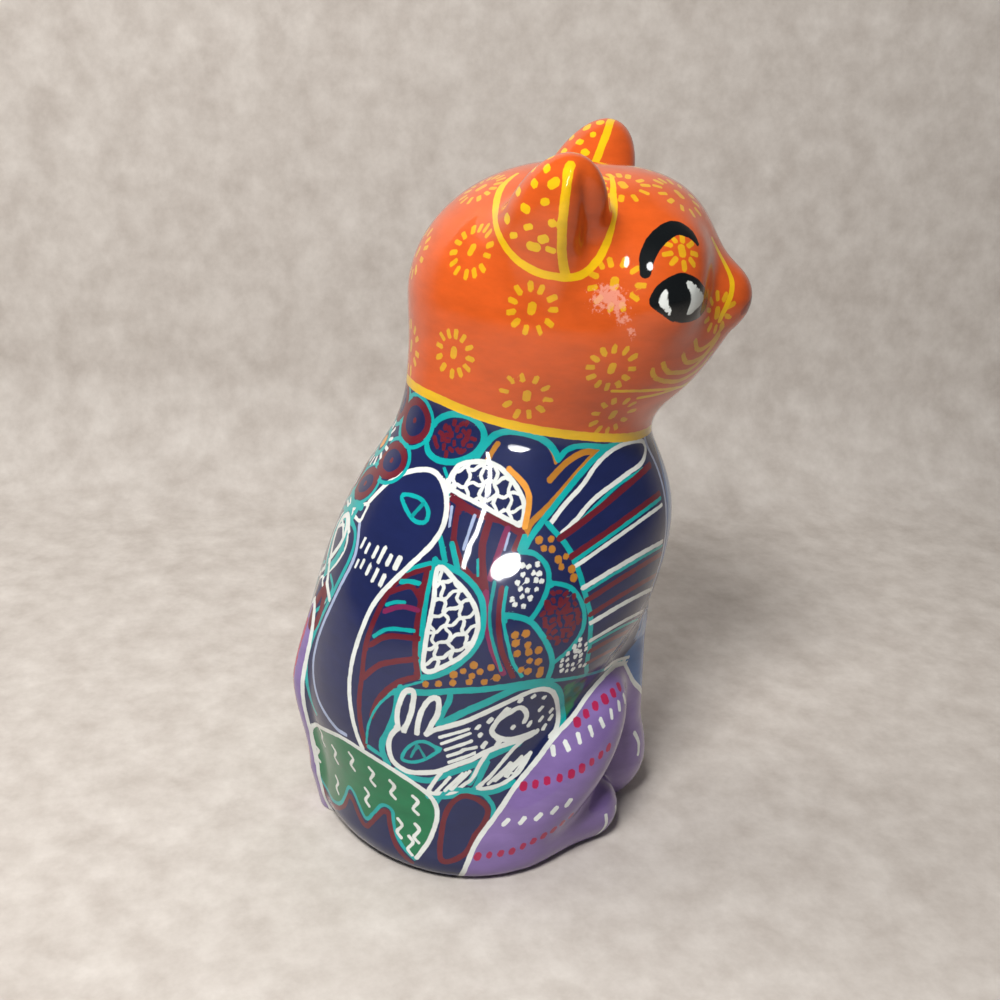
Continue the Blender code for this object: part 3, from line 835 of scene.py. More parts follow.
# %% [markdown]
# ## The drawing on the head
#
# Nearly everything on the orange head is yellow or black. Small flowers of dabs are set all over
# it, nine to fourteen dabs round one in the middle. A line runs down each ear and around its foot,
# and the backs of the ears are dabbed all over. The eye is a black almond with white on both sides
# of the pupil. Only the nose and the mouth are dark red.

# %% Flowers of dabs
DAB_LONG, DAB_SIZE = 1.0, 1.2


def dab_flower(at, radius, count):
    """A ring of short dabs that point outwards, around one in the middle."""
    at = np.asarray(at, dtype=float)
    k, up = float(degree("head", at[1])), UP_STEP["head"]
    first = rng.uniform(0.0, FULL_TURN)
    for i in range(count):
        t = first + i * 2 * math.pi / count + rng.uniform(-0.07, 0.07)
        reach = radius * rng.uniform(0.94, 1.06)
        spot = at + (-math.cos(t) * reach / k, math.sin(t) * reach / up)
        dab("thin yellow", DAB_SIZE * rng.uniform(0.85, 1.1), spot, DAB_LONG, math.degrees(t), "head")
    dab("thin yellow", DAB_SIZE * 1.45, at, DAB_LONG, 80.0, "head")


FLOWERS = (((155, 50), 4.9, 14), ((124, 25), 5.2, 14), ((162, 16), 5.0, 12), ((94, 8), 4.6, 11),
           ((125, -13), 4.3, 12), ((155, -17), 4.4, 11), ((95, -26), 4.6, 10), ((63, -13), 4.7, 12),
           ((55, -37), 4.6, 11), ((64, 18), 4.8, 11), ((40, 26), 2.7, 9), ((17, 3), 3.4, 10),
           ((44, 58), 4.8, 12), ((15, 46), 4.9, 12))
FAR_FLOWERS = (((-20, 60), 4.6, 12), ((-40, 40), 4.2, 10), ((-66, 14), 4.8, 12), ((-98, 6), 4.8, 12),
               ((-124, 26), 5.0, 12), ((-128, -12), 4.6, 12), ((-160, 4), 4.8, 12), ((-165, 40), 4.8, 12),
               ((-62, -16), 4.6, 11), ((-94, -27), 4.6, 11), ((-158, -24), 4.4, 11), ((-17, 3), 3.4, 10))
for at, radius, count in FLOWERS + FAR_FLOWERS:
    dab_flower(at, radius, count)
brush("yellow", 2.1, BAND)
print(len(strokes), "strokes after the flowers")

# %% Ears, face and whiskers
EAR_FOOT = ("145,64 138,55.5 129,47.5 118,38.5 110.5,31.5 105,26.5 99.5,23 93,20.5 87,19.5 82,19.5 "
            "76.5,21 71,25.5 67,31 64,37.5 59.5,46.5 53,56.5 42.5,66.5")
EAR_FOOT_WIDTHS = [0.9] + [1.7] * 14 + [1.3, 0.8]
EAR_RIM = "30,24 9.4,22 1.8,19.4 -3.2,16.3 -8.1,13 -13.7,9.4 -20,5.8 -25,3.6"
EAR_FAR_RIM = "170,23.6 182,20 186,15 188,10"
EAR_DABS = ("73,21.4 100,18.1 66,18.1 36,20.6 82,13.6 32,17 53,13.3 71,7.9 8,14.1 37,10.7 50,6.8 "
            "12.5,10 21,7.4 0,8.6 104,12.6 118,16 132,19.4 128,11.6 146,14.6 160,17.4 110,21.6 "
            "150,21.6 166,12.2")
for side, where in ((1.0, "right ear"), (-1.0, "left ear")):
    brush("yellow", EAR_FOOT_WIDTHS, path(EAR_FOOT) * (side, 1.0), "head")
    brush("yellow", 2.0, EAR_RIM, where)
    brush("yellow", 1.8, EAR_FAR_RIM, where)
    for at in path(EAR_DABS):
        dab("yellow", rng.uniform(1.3, 2.0), at, rng.uniform(0.2, 1.1), rng.uniform(0, 50), where)
HOOKS = ("46,-14.5 44,-17.5 39,-20 27,-22 15,-18.5 12,-12.5",
         "42,-12 39.5,-15 35,-17 24,-17.5 16,-11.5 13,-6.5",
         "33,-9.5 30.5,-12.5 26,-14 18.5,-12.5 14,-7", "28,-5 25.5,-8.5 22,-9.5 16.5,-7.5 13,-3")
NOSE_LINE = "10.4,27 8.3,20 8.9,14 10.7,9.5 12.8,5.5 15.2,0.3"
BROW_LINE = "53.5,21 51.5,26.5 46.5,31.5 38.5,34 33.5,31.5 31.5,27.5"
BROW_WIDTHS = [2.4, 3.4, 3.8, 3.8, 3.2, 1.2]
EYE_LINE = ("53.5,11 52.5,14.5 50,17 46,19 42,19.5 36.5,17.5 31.5,14 24,9 26,5.5 32,4 39.5,3.5 "
            "45.5,4.5 50,7.5")
EYE_WHITES = ("48,15 50,13.5 51,11 49.5,9 46.5,7 47.5,10 48,12.5",
              "41,17 38,16 35,14 30.5,10 35.5,7.5 40,6 39.5,9 39.5,12.5 40.5,15")
for put in (as_drawn, mirrored):
    brush("yellow", 1.4, put(NOSE_LINE), "head")
    brush("black", BROW_WIDTHS, put(BROW_LINE), "head")
    brushed_in("black", 1.2, put(EYE_LINE))
    for text in EYE_WHITES:
        brushed_in("white", 0.6, put(text))
    for text in HOOKS:
        brush("thin yellow", 1.2, put(text), "head")
    for text in ("60,-23.5 43,-24.4 26,-26 8,-27.6", "46,-28.2 30,-27 12,-25.4"):
        brush("yellow", 0.8, put(text), "head")
brush("ember", [2.0, 3.5, 2.0], "6,2 0,3.5 -6,2", "head")
brush("maroon", 1.1, "0,-5 0,-12 5,-16 9,-15.4", "head")
brush("maroon", 1.1, "0,-12 -5,-16 -9,-15.4", "head")
print(len(strokes), "strokes in all")


# %% [markdown]
# ## Press the strokes onto the clay
#
# Each stroke's path is cast from its map onto the clay and walked along in steps of 0.4 mm. Two
# strokes that touch, or nearly touch, have to lie in different coats, or the skin's points between
# them would not know which one they belong to. Only strokes of one ink and about one width may
# share a coat where they meet. A later stroke that covers an earlier one goes into a higher coat.
# Every stroke takes the lowest coat that these rules allow.

# %% Cast, walk and sort into coats
STEP = 0.4                # millimetres between the points of a stroke
CLEAR = 1.2               # strokes of one coat stay at least this far apart, beside their widths
ALIKE = 0.3               # half widths that differ by less count as one width
MEETING = 0.3             # strokes that leave less than this between them meet
FAR_OFF = 12.0            # strokes farther apart than this never matter to each other


def walk(points, half, closed):
    """Points at even steps along a stroke, with its direction and half width at each."""
    if closed:
        points = np.vstack([points, points[:1]])
        half = np.append(half, half[0])
    if len(points) == 1:
        return points, np.array([[0.0, 0.0, 1.0]]), half
    run = np.concatenate([[0.0], np.cumsum(np.linalg.norm(np.diff(points, axis=0), axis=1))])
    count = max(2, int(run[-1] / STEP) + 1)
    at = np.linspace(0.0, run[-1], count)
    out = np.stack([np.interp(at, run, points[:, i]) for i in range(3)], -1)
    way = np.gradient(out, axis=0)
    if closed:
        way[0] = way[-1] = out[1] - out[-2]
    way /= np.maximum(np.linalg.norm(way, axis=1, keepdims=True), 1e-9)
    return out, way, np.interp(at, run, half)


pressed = [None] * len(strokes)
for where, (make_rays, first) in MAPS.items():
    chosen = [i for i, stroke in enumerate(strokes) if stroke[0] == where]
    if chosen:
        starts, ways = make_rays(np.vstack([strokes[i][1] for i in chosen]))
        points = cast(starts, ways, first)
        cuts = np.cumsum([len(strokes[i][1]) for i in chosen])[:-1]
        for i, piece in zip(chosen, np.split(points, cuts)):
            pressed[i] = walk(piece, strokes[i][2], strokes[i][4])
owner = np.concatenate([np.full(len(p[0]), i) for i, p in enumerate(pressed)])
spots = np.vstack([p[0] for p in pressed]).astype(np.float32)
print(len(spots), "points along all strokes")

# %% Coats
BLOCK = 400               # points compared with all the others at one time
widest = np.array([p[2].max() for p in pressed], dtype=np.float32)
nearest = np.full((len(strokes), len(strokes)), np.inf, dtype=np.float32)
for start in range(0, len(spots), BLOCK):
    block = spots[start:start + BLOCK]
    far = np.linalg.norm(block[:, None, :] - spots[None], axis=-1)
    near_a, near_b = np.nonzero(far < FAR_OFF)
    np.minimum.at(nearest, (owner[start + near_a], owner[near_b]), far[near_a, near_b])
inks = np.array([stroke[3] for stroke in strokes])
coat = np.zeros(len(strokes), dtype=int)
for i in range(1, len(strokes)):
    gap = nearest[i, :i]
    thick = np.maximum(widest[:i], widest[i])
    same = (inks[:i] == inks[i]) & (np.abs(widest[:i] - widest[i]) < ALIKE)
    clash = (gap < 2 * thick + CLEAR) & ~(same & (gap < widest[:i] + widest[i] + MEETING))
    covers = (gap < widest[:i] + widest[i]) & ~same
    level = coat[:i][covers].max() + 1 if covers.any() else 0
    taken = set(coat[:i][clash].tolist())
    while level in taken:
        level += 1
    coat[i] = level
COATS = int(coat.max()) + 1
print(COATS, "coats, with strokes:", np.bincount(coat).tolist())

# %% [markdown]
# ## The skin as a mesh
#
# The grid becomes quads, with a fan over the crown and a flat underside. The same rows and columns
# give it its own texture map, in which every quad has about the same share.

# %% Build the mesh
rings, around, _ = skin_grid.shape
base_middle = skin_grid[0].mean(0)
inner_ring = base_middle + (skin_grid[0] - base_middle) * 0.5
crown = cast(HEAD_CENTRE[None], np.array([[0.0, 0.0, 1.0]]))[0]
verts = np.concatenate([skin_grid.reshape(-1, 3), inner_ring, [base_middle, crown]]) + SET_BACK
inner, foot, top = rings * around, rings * around + around, rings * around + around + 1
i, j = np.meshgrid(np.arange(rings - 1), np.arange(around), indexing="ij")
k = (j + 1) % around
quads = np.stack([i * around + j, i * around + k, (i + 1) * around + k, (i + 1) * around + j], -1)
faces = quads.reshape(-1, 4).tolist()
column = np.arange(around)
following = (column + 1) % around
faces += np.stack([following, column, inner + column, inner + following], -1).tolist()
faces += [(inner + (c + 1) % around, inner + c, foot) for c in range(around)]
faces += [((rings - 1) * around + c, (rings - 1) * around + (c + 1) % around, top) for c in range(around)]
mesh = bpy.data.meshes.new("painted_clay_skin")
mesh.from_pydata((verts * MM).tolist(), [], faces)
mesh.shade_smooth()
skin = bpy.data.objects.new("painted_clay_skin", mesh)
bpy.context.scene.collection.objects.link(skin)
print("skin:", len(verts), "points,", sum(len(f) - 2 for f in faces), "triangles")

# %% Give it a texture map and the grounds
UNDER, CROWN = 0.04, 0.985         # heights on the map where the sides start and the crown does
row_v = np.linspace(UNDER, CROWN, rings)
uv = mesh.uv_layers.new(name="OFBake")
corners = np.empty(len(mesh.loops), dtype=np.int32)
mesh.loops.foreach_get("vertex_index", corners)
v_of = np.concatenate([np.repeat(row_v, around), np.full(around, UNDER * 0.5), [0.0, 1.0]])
u_of = np.concatenate([np.tile(np.arange(around), rings), np.arange(around), [0, 0]]) / around
corner_u, corner_v = u_of[corners], v_of[corners]
starts = np.empty(len(mesh.polygons), dtype=np.int32)
sizes = np.empty(len(mesh.polygons), dtype=np.int32)
mesh.polygons.foreach_get("loop_start", starts)
mesh.polygons.foreach_get("loop_total", sizes)
for start, size in zip(starts.tolist(), sizes.tolist()):
    part = corner_u[start:start + size]
    if part.max() - part.min() > 0.5:
        part[part < 0.5] += 1.0
pole = corners >= foot
face_of = np.repeat(np.arange(len(sizes)), sizes)
for face in np.unique(face_of[pole]).tolist():
    a = starts[face]
    part, poles = corner_u[a:a + sizes[face]], pole[a:a + sizes[face]]
    wrapped = np.where(poles, np.nan, part)
    if np.nanmax(wrapped) > 0.999 and np.nanmin(wrapped) < 0.001:
        wrapped[wrapped < 0.5] += 1.0
    part[:] = np.where(poles, np.nanmean(wrapped), wrapped)
uv.data.foreach_set("uv", np.stack([corner_u, corner_v], -1).ravel())
ground_at = mesh.attributes.new("ground", "FLOAT_COLOR", "POINT")
values = np.ones((len(verts), 4))
values[:rings * around, :3] = ground.reshape(-1, 3)
values[inner:foot + 1, :3] = linear(BARE_CLAY)
values[top, :3] = linear(INKS["orange"])
ground_at.data.foreach_set("color", values.ravel())
print("texture map and grounds stored")

# %% Where the varnish and paint are rubbed, on the right cheek, with a painted highlight on the rub
# The rub is real wear and also a painted highlight: its pale colour stands in for the varnish's sheen there.
RUB_AND_SHEEN = (("69,12.5 66,14.5 63.5,11", 2.6), ("63.5,10 61,5.5", 1.5), ("58.4,1.4 57.2,-0.6", 0.9))
rub = np.full(skin_grid.shape[:2], -1.0)
for text, reach in RUB_AND_SHEEN:
    marks = cast(*head_rays(smooth(path(text), False)))
    away = np.min([np.linalg.norm(skin_grid - mark, axis=-1) for mark in marks], axis=0)
    rub = np.maximum(rub, np.clip(1.0 - away / reach, -1.0, 1.0))
rub_and_sheen_at = mesh.attributes.new("rub", "FLOAT", "POINT")
rub_and_sheen_at.data.foreach_set("value", np.append(rub.ravel(), [-1.0] * (around + 2)).astype(np.float32))
print("rubbed points:", int((rub > 0).sum()))


# %% [markdown]
# ## Lay each coat with Geometry Nodes
#
# What the skin's points need to know follows the strokes, so Geometry Nodes work it out. One tree
# finds, for each point of the skin, the nearest point of a coat's strokes and stores three
# distances from it: sideways, along the stroke and straight. It also stores the ink, with half the
# brush's width in its fourth value. The tree is used once for each coat.

# %% The tree that lays a coat
def coat_tree(material):
    tree = bpy.data.node_groups.new("lay a coat of strokes", "GeometryNodeTree")
    face = tree.interface
    face.new_socket("Geometry", in_out="INPUT", socket_type="NodeSocketGeometry")
    face.new_socket("Strokes", in_out="INPUT", socket_type="NodeSocketObject")
    face.new_socket("Place Name", in_out="INPUT", socket_type="NodeSocketString")
    face.new_socket("Ink Name", in_out="INPUT", socket_type="NodeSocketString")
    face.new_socket("Units per Millimetre", in_out="INPUT", socket_type="NodeSocketFloat")
    face.new_socket("Geometry", in_out="OUTPUT", socket_type="NodeSocketGeometry")
    given = node(tree, "NodeGroupInput").outputs
    drawn = node(tree, "GeometryNodeObjectInfo", {"Object": given["Strokes"]}).outputs["Geometry"]
    here = node(tree, "GeometryNodeInputPosition").outputs[0]
    near = node(tree, "GeometryNodeSampleNearest", {"Geometry": drawn, "Sample Position": here},
                domain="POINT").outputs[0]

    def sampled(kind, value):
        return node(tree, "GeometryNodeSampleIndex", {"Geometry": drawn, "Value": value, "Index": near},
                    data_type=kind, domain="POINT").outputs[0]

    way = node(tree, "GeometryNodeInputNamedAttribute", {"Name": "way"}, data_type="FLOAT_VECTOR")
    ink = node(tree, "GeometryNodeInputNamedAttribute", {"Name": "ink"}, data_type="FLOAT_COLOR")
    way_here = sampled("FLOAT_VECTOR", way.outputs[0])
    spot = sampled("FLOAT_VECTOR", here)
    offset = node(tree, "ShaderNodeVectorMath", {0: here, 1: spot}, operation="SUBTRACT").outputs[0]
    scale = node(tree, "ShaderNodeMath", {0: 1.0, 1: given["Units per Millimetre"]}, operation="DIVIDE")
    offset = node(tree, "ShaderNodeVectorMath", {0: offset, "Scale": scale.outputs[0]},
                  operation="SCALE").outputs[0]
    normal = node(tree, "GeometryNodeInputNormal").outputs[0]
    across = node(tree, "ShaderNodeVectorMath", {0: normal, 1: way_here}, operation="CROSS_PRODUCT")
    across = node(tree, "ShaderNodeVectorMath", {0: across.outputs[0]}, operation="NORMALIZE").outputs[0]
    side = node(tree, "ShaderNodeVectorMath", {0: offset, 1: across}, operation="DOT_PRODUCT")
    along = node(tree, "ShaderNodeVectorMath", {0: offset, 1: way_here}, operation="DOT_PRODUCT")
    straight = node(tree, "ShaderNodeVectorMath", {0: offset}, operation="LENGTH")
    place = node(tree, "ShaderNodeCombineXYZ", {"X": side.outputs["Value"], "Y": along.outputs["Value"],
                                                "Z": straight.outputs["Value"]}).outputs[0]
    stored = node(tree, "GeometryNodeStoreNamedAttribute",
                  {"Geometry": given["Geometry"], "Name": given["Place Name"], "Value": place},
                  data_type="FLOAT_VECTOR", domain="POINT")
    stored = node(tree, "GeometryNodeStoreNamedAttribute",
                  {"Geometry": stored.outputs[0], "Name": given["Ink Name"],
                   "Value": sampled("FLOAT_COLOR", ink.outputs[0])},
                  data_type="FLOAT_COLOR", domain="POINT")
    real = node(tree, "GeometryNodeRealizeInstances", {"Geometry": stored.outputs[0]})
    done = node(tree, "GeometryNodeSetMaterial", {"Geometry": real.outputs[0], "Material": material})
    node(tree, "NodeGroupOutput", {"Geometry": done.outputs[0]})
    return tree


def stroke_points(level):
    """The points of one coat's strokes, each with its direction, ink and half width."""
    chosen = [i for i in range(len(strokes)) if coat[i] == level]
    at = np.vstack([pressed[i][0] for i in chosen]) + SET_BACK
    drawn = bpy.data.meshes.new(f"strokes_{level}")
    drawn.from_pydata((at * MM).tolist(), [], [])
    way = drawn.attributes.new("way", "FLOAT_VECTOR", "POINT")
    way.data.foreach_set("vector", np.vstack([pressed[i][1] for i in chosen]).ravel())
    ink = drawn.attributes.new("ink", "FLOAT_COLOR", "POINT")
    colours = [np.tile(linear(INKS[strokes[i][3]]), (len(pressed[i][2]), 1)) for i in chosen]
    halves = np.concatenate([pressed[i][2] for i in chosen])
    ink.data.foreach_set("color", np.column_stack([np.vstack(colours), halves]).ravel())
    return bpy.data.objects.new(f"strokes_{level}", drawn)


# %% [markdown]
# ## The material
#
# Painted and varnished earthenware: flat, slightly uneven brush paint under a clear glossy coat.
# For each coat the shader asks whether this spot is within half a brush's width of the stroke. The
# answer has a crisp edge that wavers a little, as a hand does. The clear coat gives the sharp
# highlights and the paint under it is only half matt.

# %% One coat in the shader
PAINT_EDGE = 0.14          # millimetres over which a stroke's edge fades
HAND = 0.07                # millimetres that a stroke's edge wavers
STROKE_SLACK = 0.2         # millimetres along a stroke that count as on it
WIDE_SLACK, THIN_SLACK = 0.1, 0.3     # the same straight from it, for wide and for thin strokes
WIDE_HALF = 0.7            # a stroke's half width and its slack together, between those two
REACH, LEAST_REACH = 0.3, 0.62        # past this beyond its half width, or this, nothing is on it


def stroke_group():
    """A node group that lays one coat's strokes over the colour beneath."""
    tree = bpy.data.node_groups.new("one coat", "ShaderNodeTree")
    face = tree.interface
    for name, kind in (("Under", "Color"), ("Place", "Vector"), ("Ink", "Color"), ("Half Width", "Float"),
                       ("Waver", "Float")):
        face.new_socket(name, in_out="INPUT", socket_type=f"NodeSocket{kind}")
    face.new_socket("Colour", in_out="OUTPUT", socket_type="NodeSocketColor")
    given = node(tree, "NodeGroupInput").outputs

    def maths(operation, *values):
        return node(tree, "ShaderNodeMath", dict(enumerate(values)), operation=operation).outputs[0]

    place = node(tree, "ShaderNodeSeparateXYZ", {0: given["Place"]}).outputs
    over = maths("MAXIMUM", maths("SUBTRACT", maths("ABSOLUTE", place["Y"]), STROKE_SLACK), 0.0)
    squares = maths("MULTIPLY", over, over), maths("MULTIPLY", place["X"], place["X"])
    slack = maths("MAXIMUM", maths("SUBTRACT", WIDE_HALF, given["Half Width"]), WIDE_SLACK)
    slack = maths("MINIMUM", slack, THIN_SLACK)
    away = maths("MAXIMUM", maths("SQRT", maths("ADD", *squares)), maths("SUBTRACT", place["Z"], slack))
    half = maths("ADD", given["Half Width"], given["Waver"])
    edge = maths("DIVIDE", maths("SUBTRACT", half, away), PAINT_EDGE)
    on = node(tree, "ShaderNodeClamp", {"Value": maths("ADD", edge, 0.5)}).outputs[0]
    reach = maths("MAXIMUM", maths("ADD", given["Half Width"], REACH), LEAST_REACH)
    close = maths("LESS_THAN", place["Z"], reach)
    mixed = node(tree, "ShaderNodeMix", {"Factor": maths("MULTIPLY", on, close), "A": given["Under"],
                                         "B": given["Ink"]}, data_type="RGBA")
    node(tree, "NodeGroupOutput", {"Colour": mixed.outputs["Result"]})
    return tree


# %% The painted clay
def painted_clay():
    """Varnished paint on earthenware: crisp brush drawing under a clear, glossy, slightly wavy coat."""
    material = bpy.data.materials.new("varnished paint on earthenware")
    material.use_nodes = True
    tree = material.node_tree
    shader = tree.nodes["Principled BSDF"]
    spot = node(tree, "ShaderNodeTexCoord").outputs["Object"]

    def noise(per_mm, detail=2.0, roughness=0.5, stretch=(1.0, 1.0, 1.0)):
        """Noise in millimetres: per_mm is one over the size of its lumps."""
        scale = tuple(s * per_mm / MM for s in stretch)
        scaled = node(tree, "ShaderNodeMapping", {"Vector": spot, "Scale": scale}).outputs[0]
        return node(tree, "ShaderNodeTexNoise", {"Vector": scaled, "Scale": 1.0, "Detail": detail,
                                                 "Roughness": roughness}).outputs[0]

    def ranged(value, low, high, out_low, out_high):
        """A value's range turned into another."""
        ends = {1: low, 2: high, 3: out_low, 4: out_high}
        return node(tree, "ShaderNodeMapRange", {0: value, **ends}).outputs[0]

    def stored(name):
        """What is stored on the skin's points under a name."""
        return node(tree, "ShaderNodeAttribute", attribute_name=name).outputs

    waver = ranged(noise(0.55), 0.3, 0.7, -HAND, HAND)
    colour = stored("ground")["Color"]
    group = stroke_group()
    for level in range(COATS):
        place, ink = stored(f"place_{level}"), stored(f"ink_{level}")
        given = {"Under": colour, "Place": place["Vector"], "Waver": waver, "Ink": ink["Color"],
                 "Half Width": ink["Alpha"]}
        colour = node(tree, "ShaderNodeGroup", given, node_tree=group).outputs[0]
    brushed = ranged(noise(0.12, 4.0, 0.6, (1.0, 1.0, 2.6)), 0.25, 0.75, 0.86, 1.12)
    toned = node(tree, "ShaderNodeVectorMath", {0: colour, "Scale": brushed}, operation="SCALE")
    # Where the paint is rubbed it shows scraped clay, made pale as a painted highlight as well, and rougher.
    speckle = node(tree, "ShaderNodeMath", {0: noise(1.1, 3.0, 0.7), 1: 0.5}, operation="SUBTRACT")
    worn_and_sheen = {0: speckle.outputs[0], 1: 3.4, 2: stored("rub")["Fac"]}
    worn_and_sheen = node(tree, "ShaderNodeMath", worn_and_sheen, operation="MULTIPLY_ADD").outputs[0]
    worn_and_sheen = ranged(worn_and_sheen, 0.12, 0.55, 0.0, 0.75)
    scraped_and_sheen = {"Factor": worn_and_sheen, "A": toned.outputs[0], "B": (*linear(SCRAPED_CLAY_AND_SHEEN), 1.0)}
    scraped_and_sheen = node(tree, "ShaderNodeMix", scraped_and_sheen, data_type="RGBA").outputs["Result"]
    tree.links.new(scraped_and_sheen, shader.inputs["Base Color"])
    tree.links.new(ranged(worn_and_sheen, 0.0, 1.0, 0.4, 0.75), shader.inputs["Roughness"])
    shader.inputs["IOR"].default_value = 1.5
    shader.inputs["Specular IOR Level"].default_value = 0.12
    shader.inputs["Coat Weight"].default_value = 1.0
    shader.inputs["Coat Roughness"].default_value = 0.045
    shader.inputs["Coat IOR"].default_value = 1.52
    waves = node(tree, "ShaderNodeBump", {"Height": noise(0.09), "Distance": 0.12 * MM, "Strength": 1.0})
    tree.links.new(waves.outputs[0], shader.inputs["Normal"])
    tree.links.new(waves.outputs[0], shader.inputs["Coat Normal"])
    return material


# %% Lay the coats on the skin
material = painted_clay()
tree = coat_tree(material)
sockets = {item.name: item.identifier for item in tree.interface.items_tree if item.in_out == "INPUT"}
helpers = []
for level in range(COATS):
    helper = stroke_points(level)
    helpers.append(helper)
    bpy.context.scene.collection.objects.link(helper)
    laid = skin.modifiers.new(f"coat {level}", "NODES")
    laid.node_group = tree
    laid[sockets["Strokes"]] = helper
    laid[sockets["Place Name"]] = f"place_{level}"
    laid[sockets["Ink Name"]] = f"ink_{level}"
    laid[sockets["Units per Millimetre"]] = MM
evaluated = skin.evaluated_get(bpy.context.evaluated_depsgraph_get())
painted = bpy.data.meshes.new_from_object(evaluated)
skin.modifiers.clear()
skin.data = painted
painted.name = "painted_clay_skin"
for helper in helpers:
    drawn = helper.data
    bpy.data.objects.remove(helper)
    bpy.data.meshes.remove(drawn)
bpy.data.meshes.remove(mesh)
print(len(painted.attributes), "attributes, material:", painted.materials[0].name)

# %% Put it in the place of the solid
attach(skin, "root")
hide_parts("cat_figurine")

# %% [markdown]
# ## Stage, light and camera
#
# A pale felt sweep lies under the cat and stands behind it. Two soft lights and a faint room light
# shape the cat. Three small lights give nothing but highlights in the varnish: a round one on the
# side, a long narrow one beside it like a window's edge, and a small one above the eye.

# %% Stage
WALL_TURN, WALL_LEAN = 11.8, 84.0     # degrees round the cat, and up from level
BEND_AT, BEND_RADIUS = 0.175, 0.05    # metres from the cat to the bend, and the bend's radius
WALL_HEIGHT, FLOOR_DEEP, HALF_ACROSS = 1.1, 1.2, 1.2       # metres
JUST_UNDER = 0.0002                   # metres that the felt lies below the cat's foot
FELT_SHADE, FELT_LIGHT = "#B7AFA8", "#D2CCC6"


def stage_material():
    """Pale grey felt: matt, and faintly mottled at about a centimetre."""
    made = bpy.data.materials.new("pale grey felt")
    made.use_nodes = True
    tree = made.node_tree
    spot = node(tree, "ShaderNodeTexCoord").outputs["Object"]
    lumps = {"Vector": spot, "Scale": 85.0, "Detail": 8.0, "Roughness": 0.66}
    lumps = node(tree, "ShaderNodeTexNoise", lumps).outputs[0]
    tones = node(tree, "ShaderNodeValToRGB", {"Fac": lumps})
    tones.color_ramp.elements[0].position = 0.3
    tones.color_ramp.elements[0].color = (*linear(FELT_SHADE), 1.0)
    tones.color_ramp.elements[1].position = 0.7
    tones.color_ramp.elements[1].color = (*linear(FELT_LIGHT), 1.0)
    shader = tree.nodes["Principled BSDF"]
    tree.links.new(tones.outputs[0], shader.inputs["Base Color"])
    shader.inputs["Roughness"].default_value = 0.95
    return made


forward_way = Vector((math.cos(math.radians(WALL_TURN)), -math.sin(math.radians(WALL_TURN)), 0.0))
sideways = Vector((-forward_way.y, forward_way.x, 0.0))
arc = np.radians(np.linspace(0.0, WALL_LEAN, 25))
arc = np.stack([BEND_AT + np.sin(arc) * BEND_RADIUS, BEND_RADIUS * (1.0 - np.cos(arc))], -1)
wall_foot = arc[-1]
wall_way = np.array([math.cos(math.radians(WALL_LEAN)), math.sin(math.radians(WALL_LEAN))])
sweep_curve = np.vstack([[[-FLOOR_DEEP, 0.0]], arc, [wall_foot + wall_way * WALL_HEIGHT]])
sweep_verts = [forward_way * a + sideways * s * HALF_ACROSS + Vector((0, 0, z - JUST_UNDER))
               for s in (-1, 1) for a, z in sweep_curve]
count = len(sweep_curve)
sweep_mesh = bpy.data.meshes.new("felt")
sweep_mesh.from_pydata([tuple(v) for v in sweep_verts], [],
                       [(n + 1, n, count + n, count + n + 1) for n in range(count - 1)])
sweep_mesh.shade_smooth()
sweep_mesh.materials.append(stage_material())
sweep = bpy.data.objects.new("felt", sweep_mesh)
bpy.context.scene.collection.objects.link(sweep)
print("felt sweep of", count, "rows")

# %% Camera
CAMERA_AT = Vector((-0.2960, 0.0962, 0.1994))
LOOK_AT = Vector((0.0, 0.00118, 0.07729))
ROLL = 2.9                            # degrees that the camera is tipped sideways
FOCAL_LENGTH, SENSOR_WIDTH = 50.82, 36.0      # millimetres
view = (LOOK_AT - CAMERA_AT).normalized()
right = view.cross(Vector((0, 0, 1))).normalized()
up = right.cross(view)
c, s = math.cos(math.radians(ROLL)), math.sin(math.radians(ROLL))
right, up = right * c + up * s, up * c - right * s
lens = bpy.data.cameras.new("camera")
lens.lens, lens.sensor_width, lens.clip_start = FOCAL_LENGTH, SENSOR_WIDTH, 0.01
camera = bpy.data.objects.new("camera", lens)
camera.matrix_world = Matrix((right, up, -view)).transposed().to_4x4()
camera.location = CAMERA_AT
bpy.context.scene.collection.objects.link(camera)
bpy.context.scene.camera = camera
print("camera", round((LOOK_AT - CAMERA_AT).length, 3), "m from what it looks at")


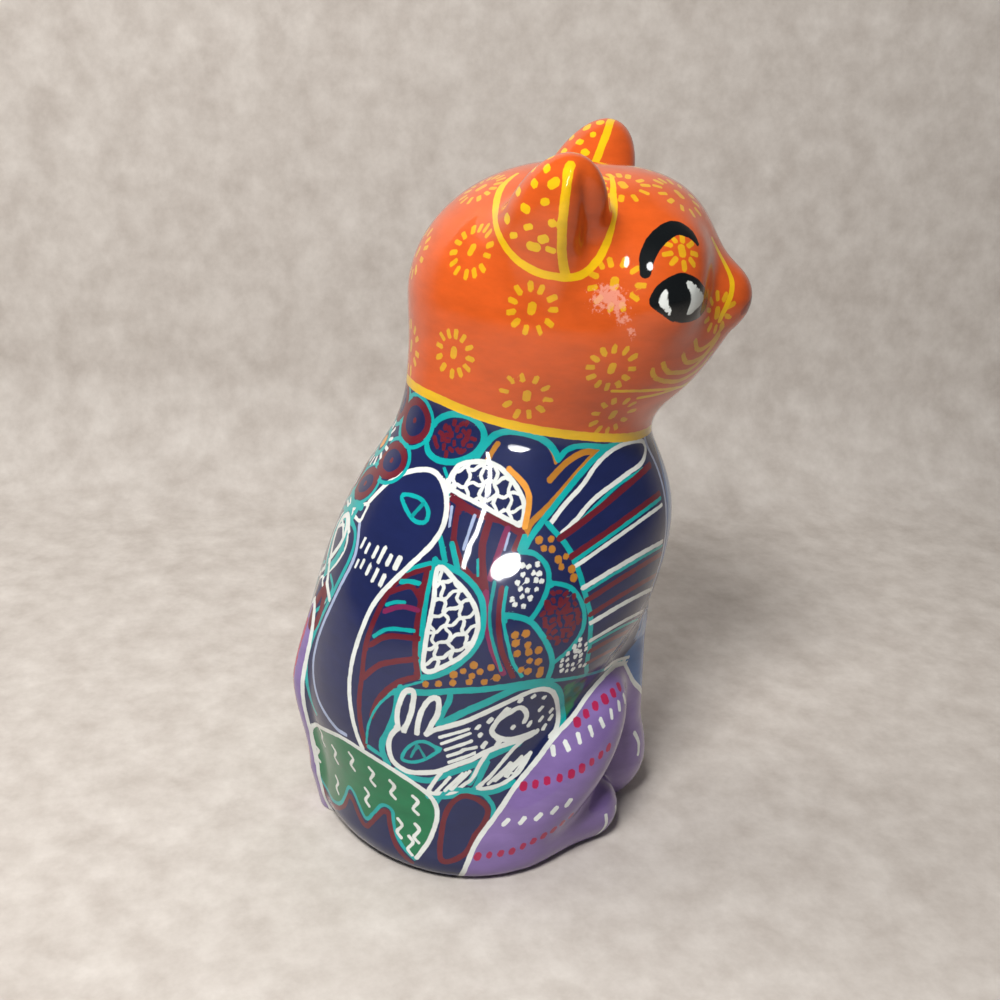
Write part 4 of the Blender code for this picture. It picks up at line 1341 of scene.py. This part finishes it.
# %% Lights
def area_light(name, at, aim, power, size, tint=(1.0, 1.0, 1.0), shape="DISK", along=(0.0, 0.0, 1.0)):
    """A lamp that looks at a place; along is the way that its second size lies."""
    lamp = bpy.data.lights.new(name, "AREA")
    lamp.shape, lamp.energy, lamp.color = shape, power, tint
    lamp.size, lamp.size_y = size
    back = (Vector(at) - Vector(aim)).normalized()
    upward = (Vector(along) - back * back.dot(Vector(along))).normalized()
    made = bpy.data.objects.new(name, lamp)
    made.matrix_world = Matrix((upward.cross(back), upward, back)).transposed().to_4x4()
    made.location = at
    bpy.context.scene.collection.objects.link(made)
    return made


CAT_MIDDLE = (0.0, 0.0, 0.09)
SOFT_WHITE = (1.0, 0.98, 0.95)
ROOM_TINT, ROOM_STRENGTH = (0.93, 0.96, 1.0, 1.0), 0.1
NARROW = math.radians(30.0)           # spread of the round glint, so that the head doesn't see it
key = area_light("soft key", (-0.313, 0.225, 0.55), CAT_MIDDLE, 4.3, (0.18, 0.18), SOFT_WHITE)
fill = area_light("side fill", (0.191, 0.297, 0.511), CAT_MIDDLE, 1.4, (0.4, 0.4), SOFT_WHITE)
key.visible_glossy = fill.visible_glossy = False
round_glint = area_light("round glint", (-0.176, 0.0373, 0.1124), (-0.0333, 0.0097, 0.0752), 0.0055,
                         (0.05, 0.0205), shape="ELLIPSE")
round_glint.data.spread = NARROW
window_glint = area_light("window glint", (-0.508, 0.335, 0.355), (-0.03, 0.012, 0.08), 0.9,
                          (0.032, 0.244), shape="RECTANGLE", along=(0.054, -0.103, 0.214))
brow_glint = area_light("brow glint", (-0.486, 0.1545, 0.6444), (-0.0303, -0.0135, 0.1404), 0.3,
                        (0.07, 0.07))
for glint in (round_glint, window_glint, brow_glint):
    glint.visible_diffuse = glint.visible_camera = False
world = bpy.data.worlds.new("soft room")
world.use_nodes = True
room = world.node_tree.nodes["Background"].inputs
room["Color"].default_value = ROOM_TINT
room["Strength"].default_value = ROOM_STRENGTH
bpy.context.scene.world = world
bpy.context.scene.view_settings.view_transform = "Standard"     # paint keeps its full colour
print("two soft lights, three glints and a faint room light")
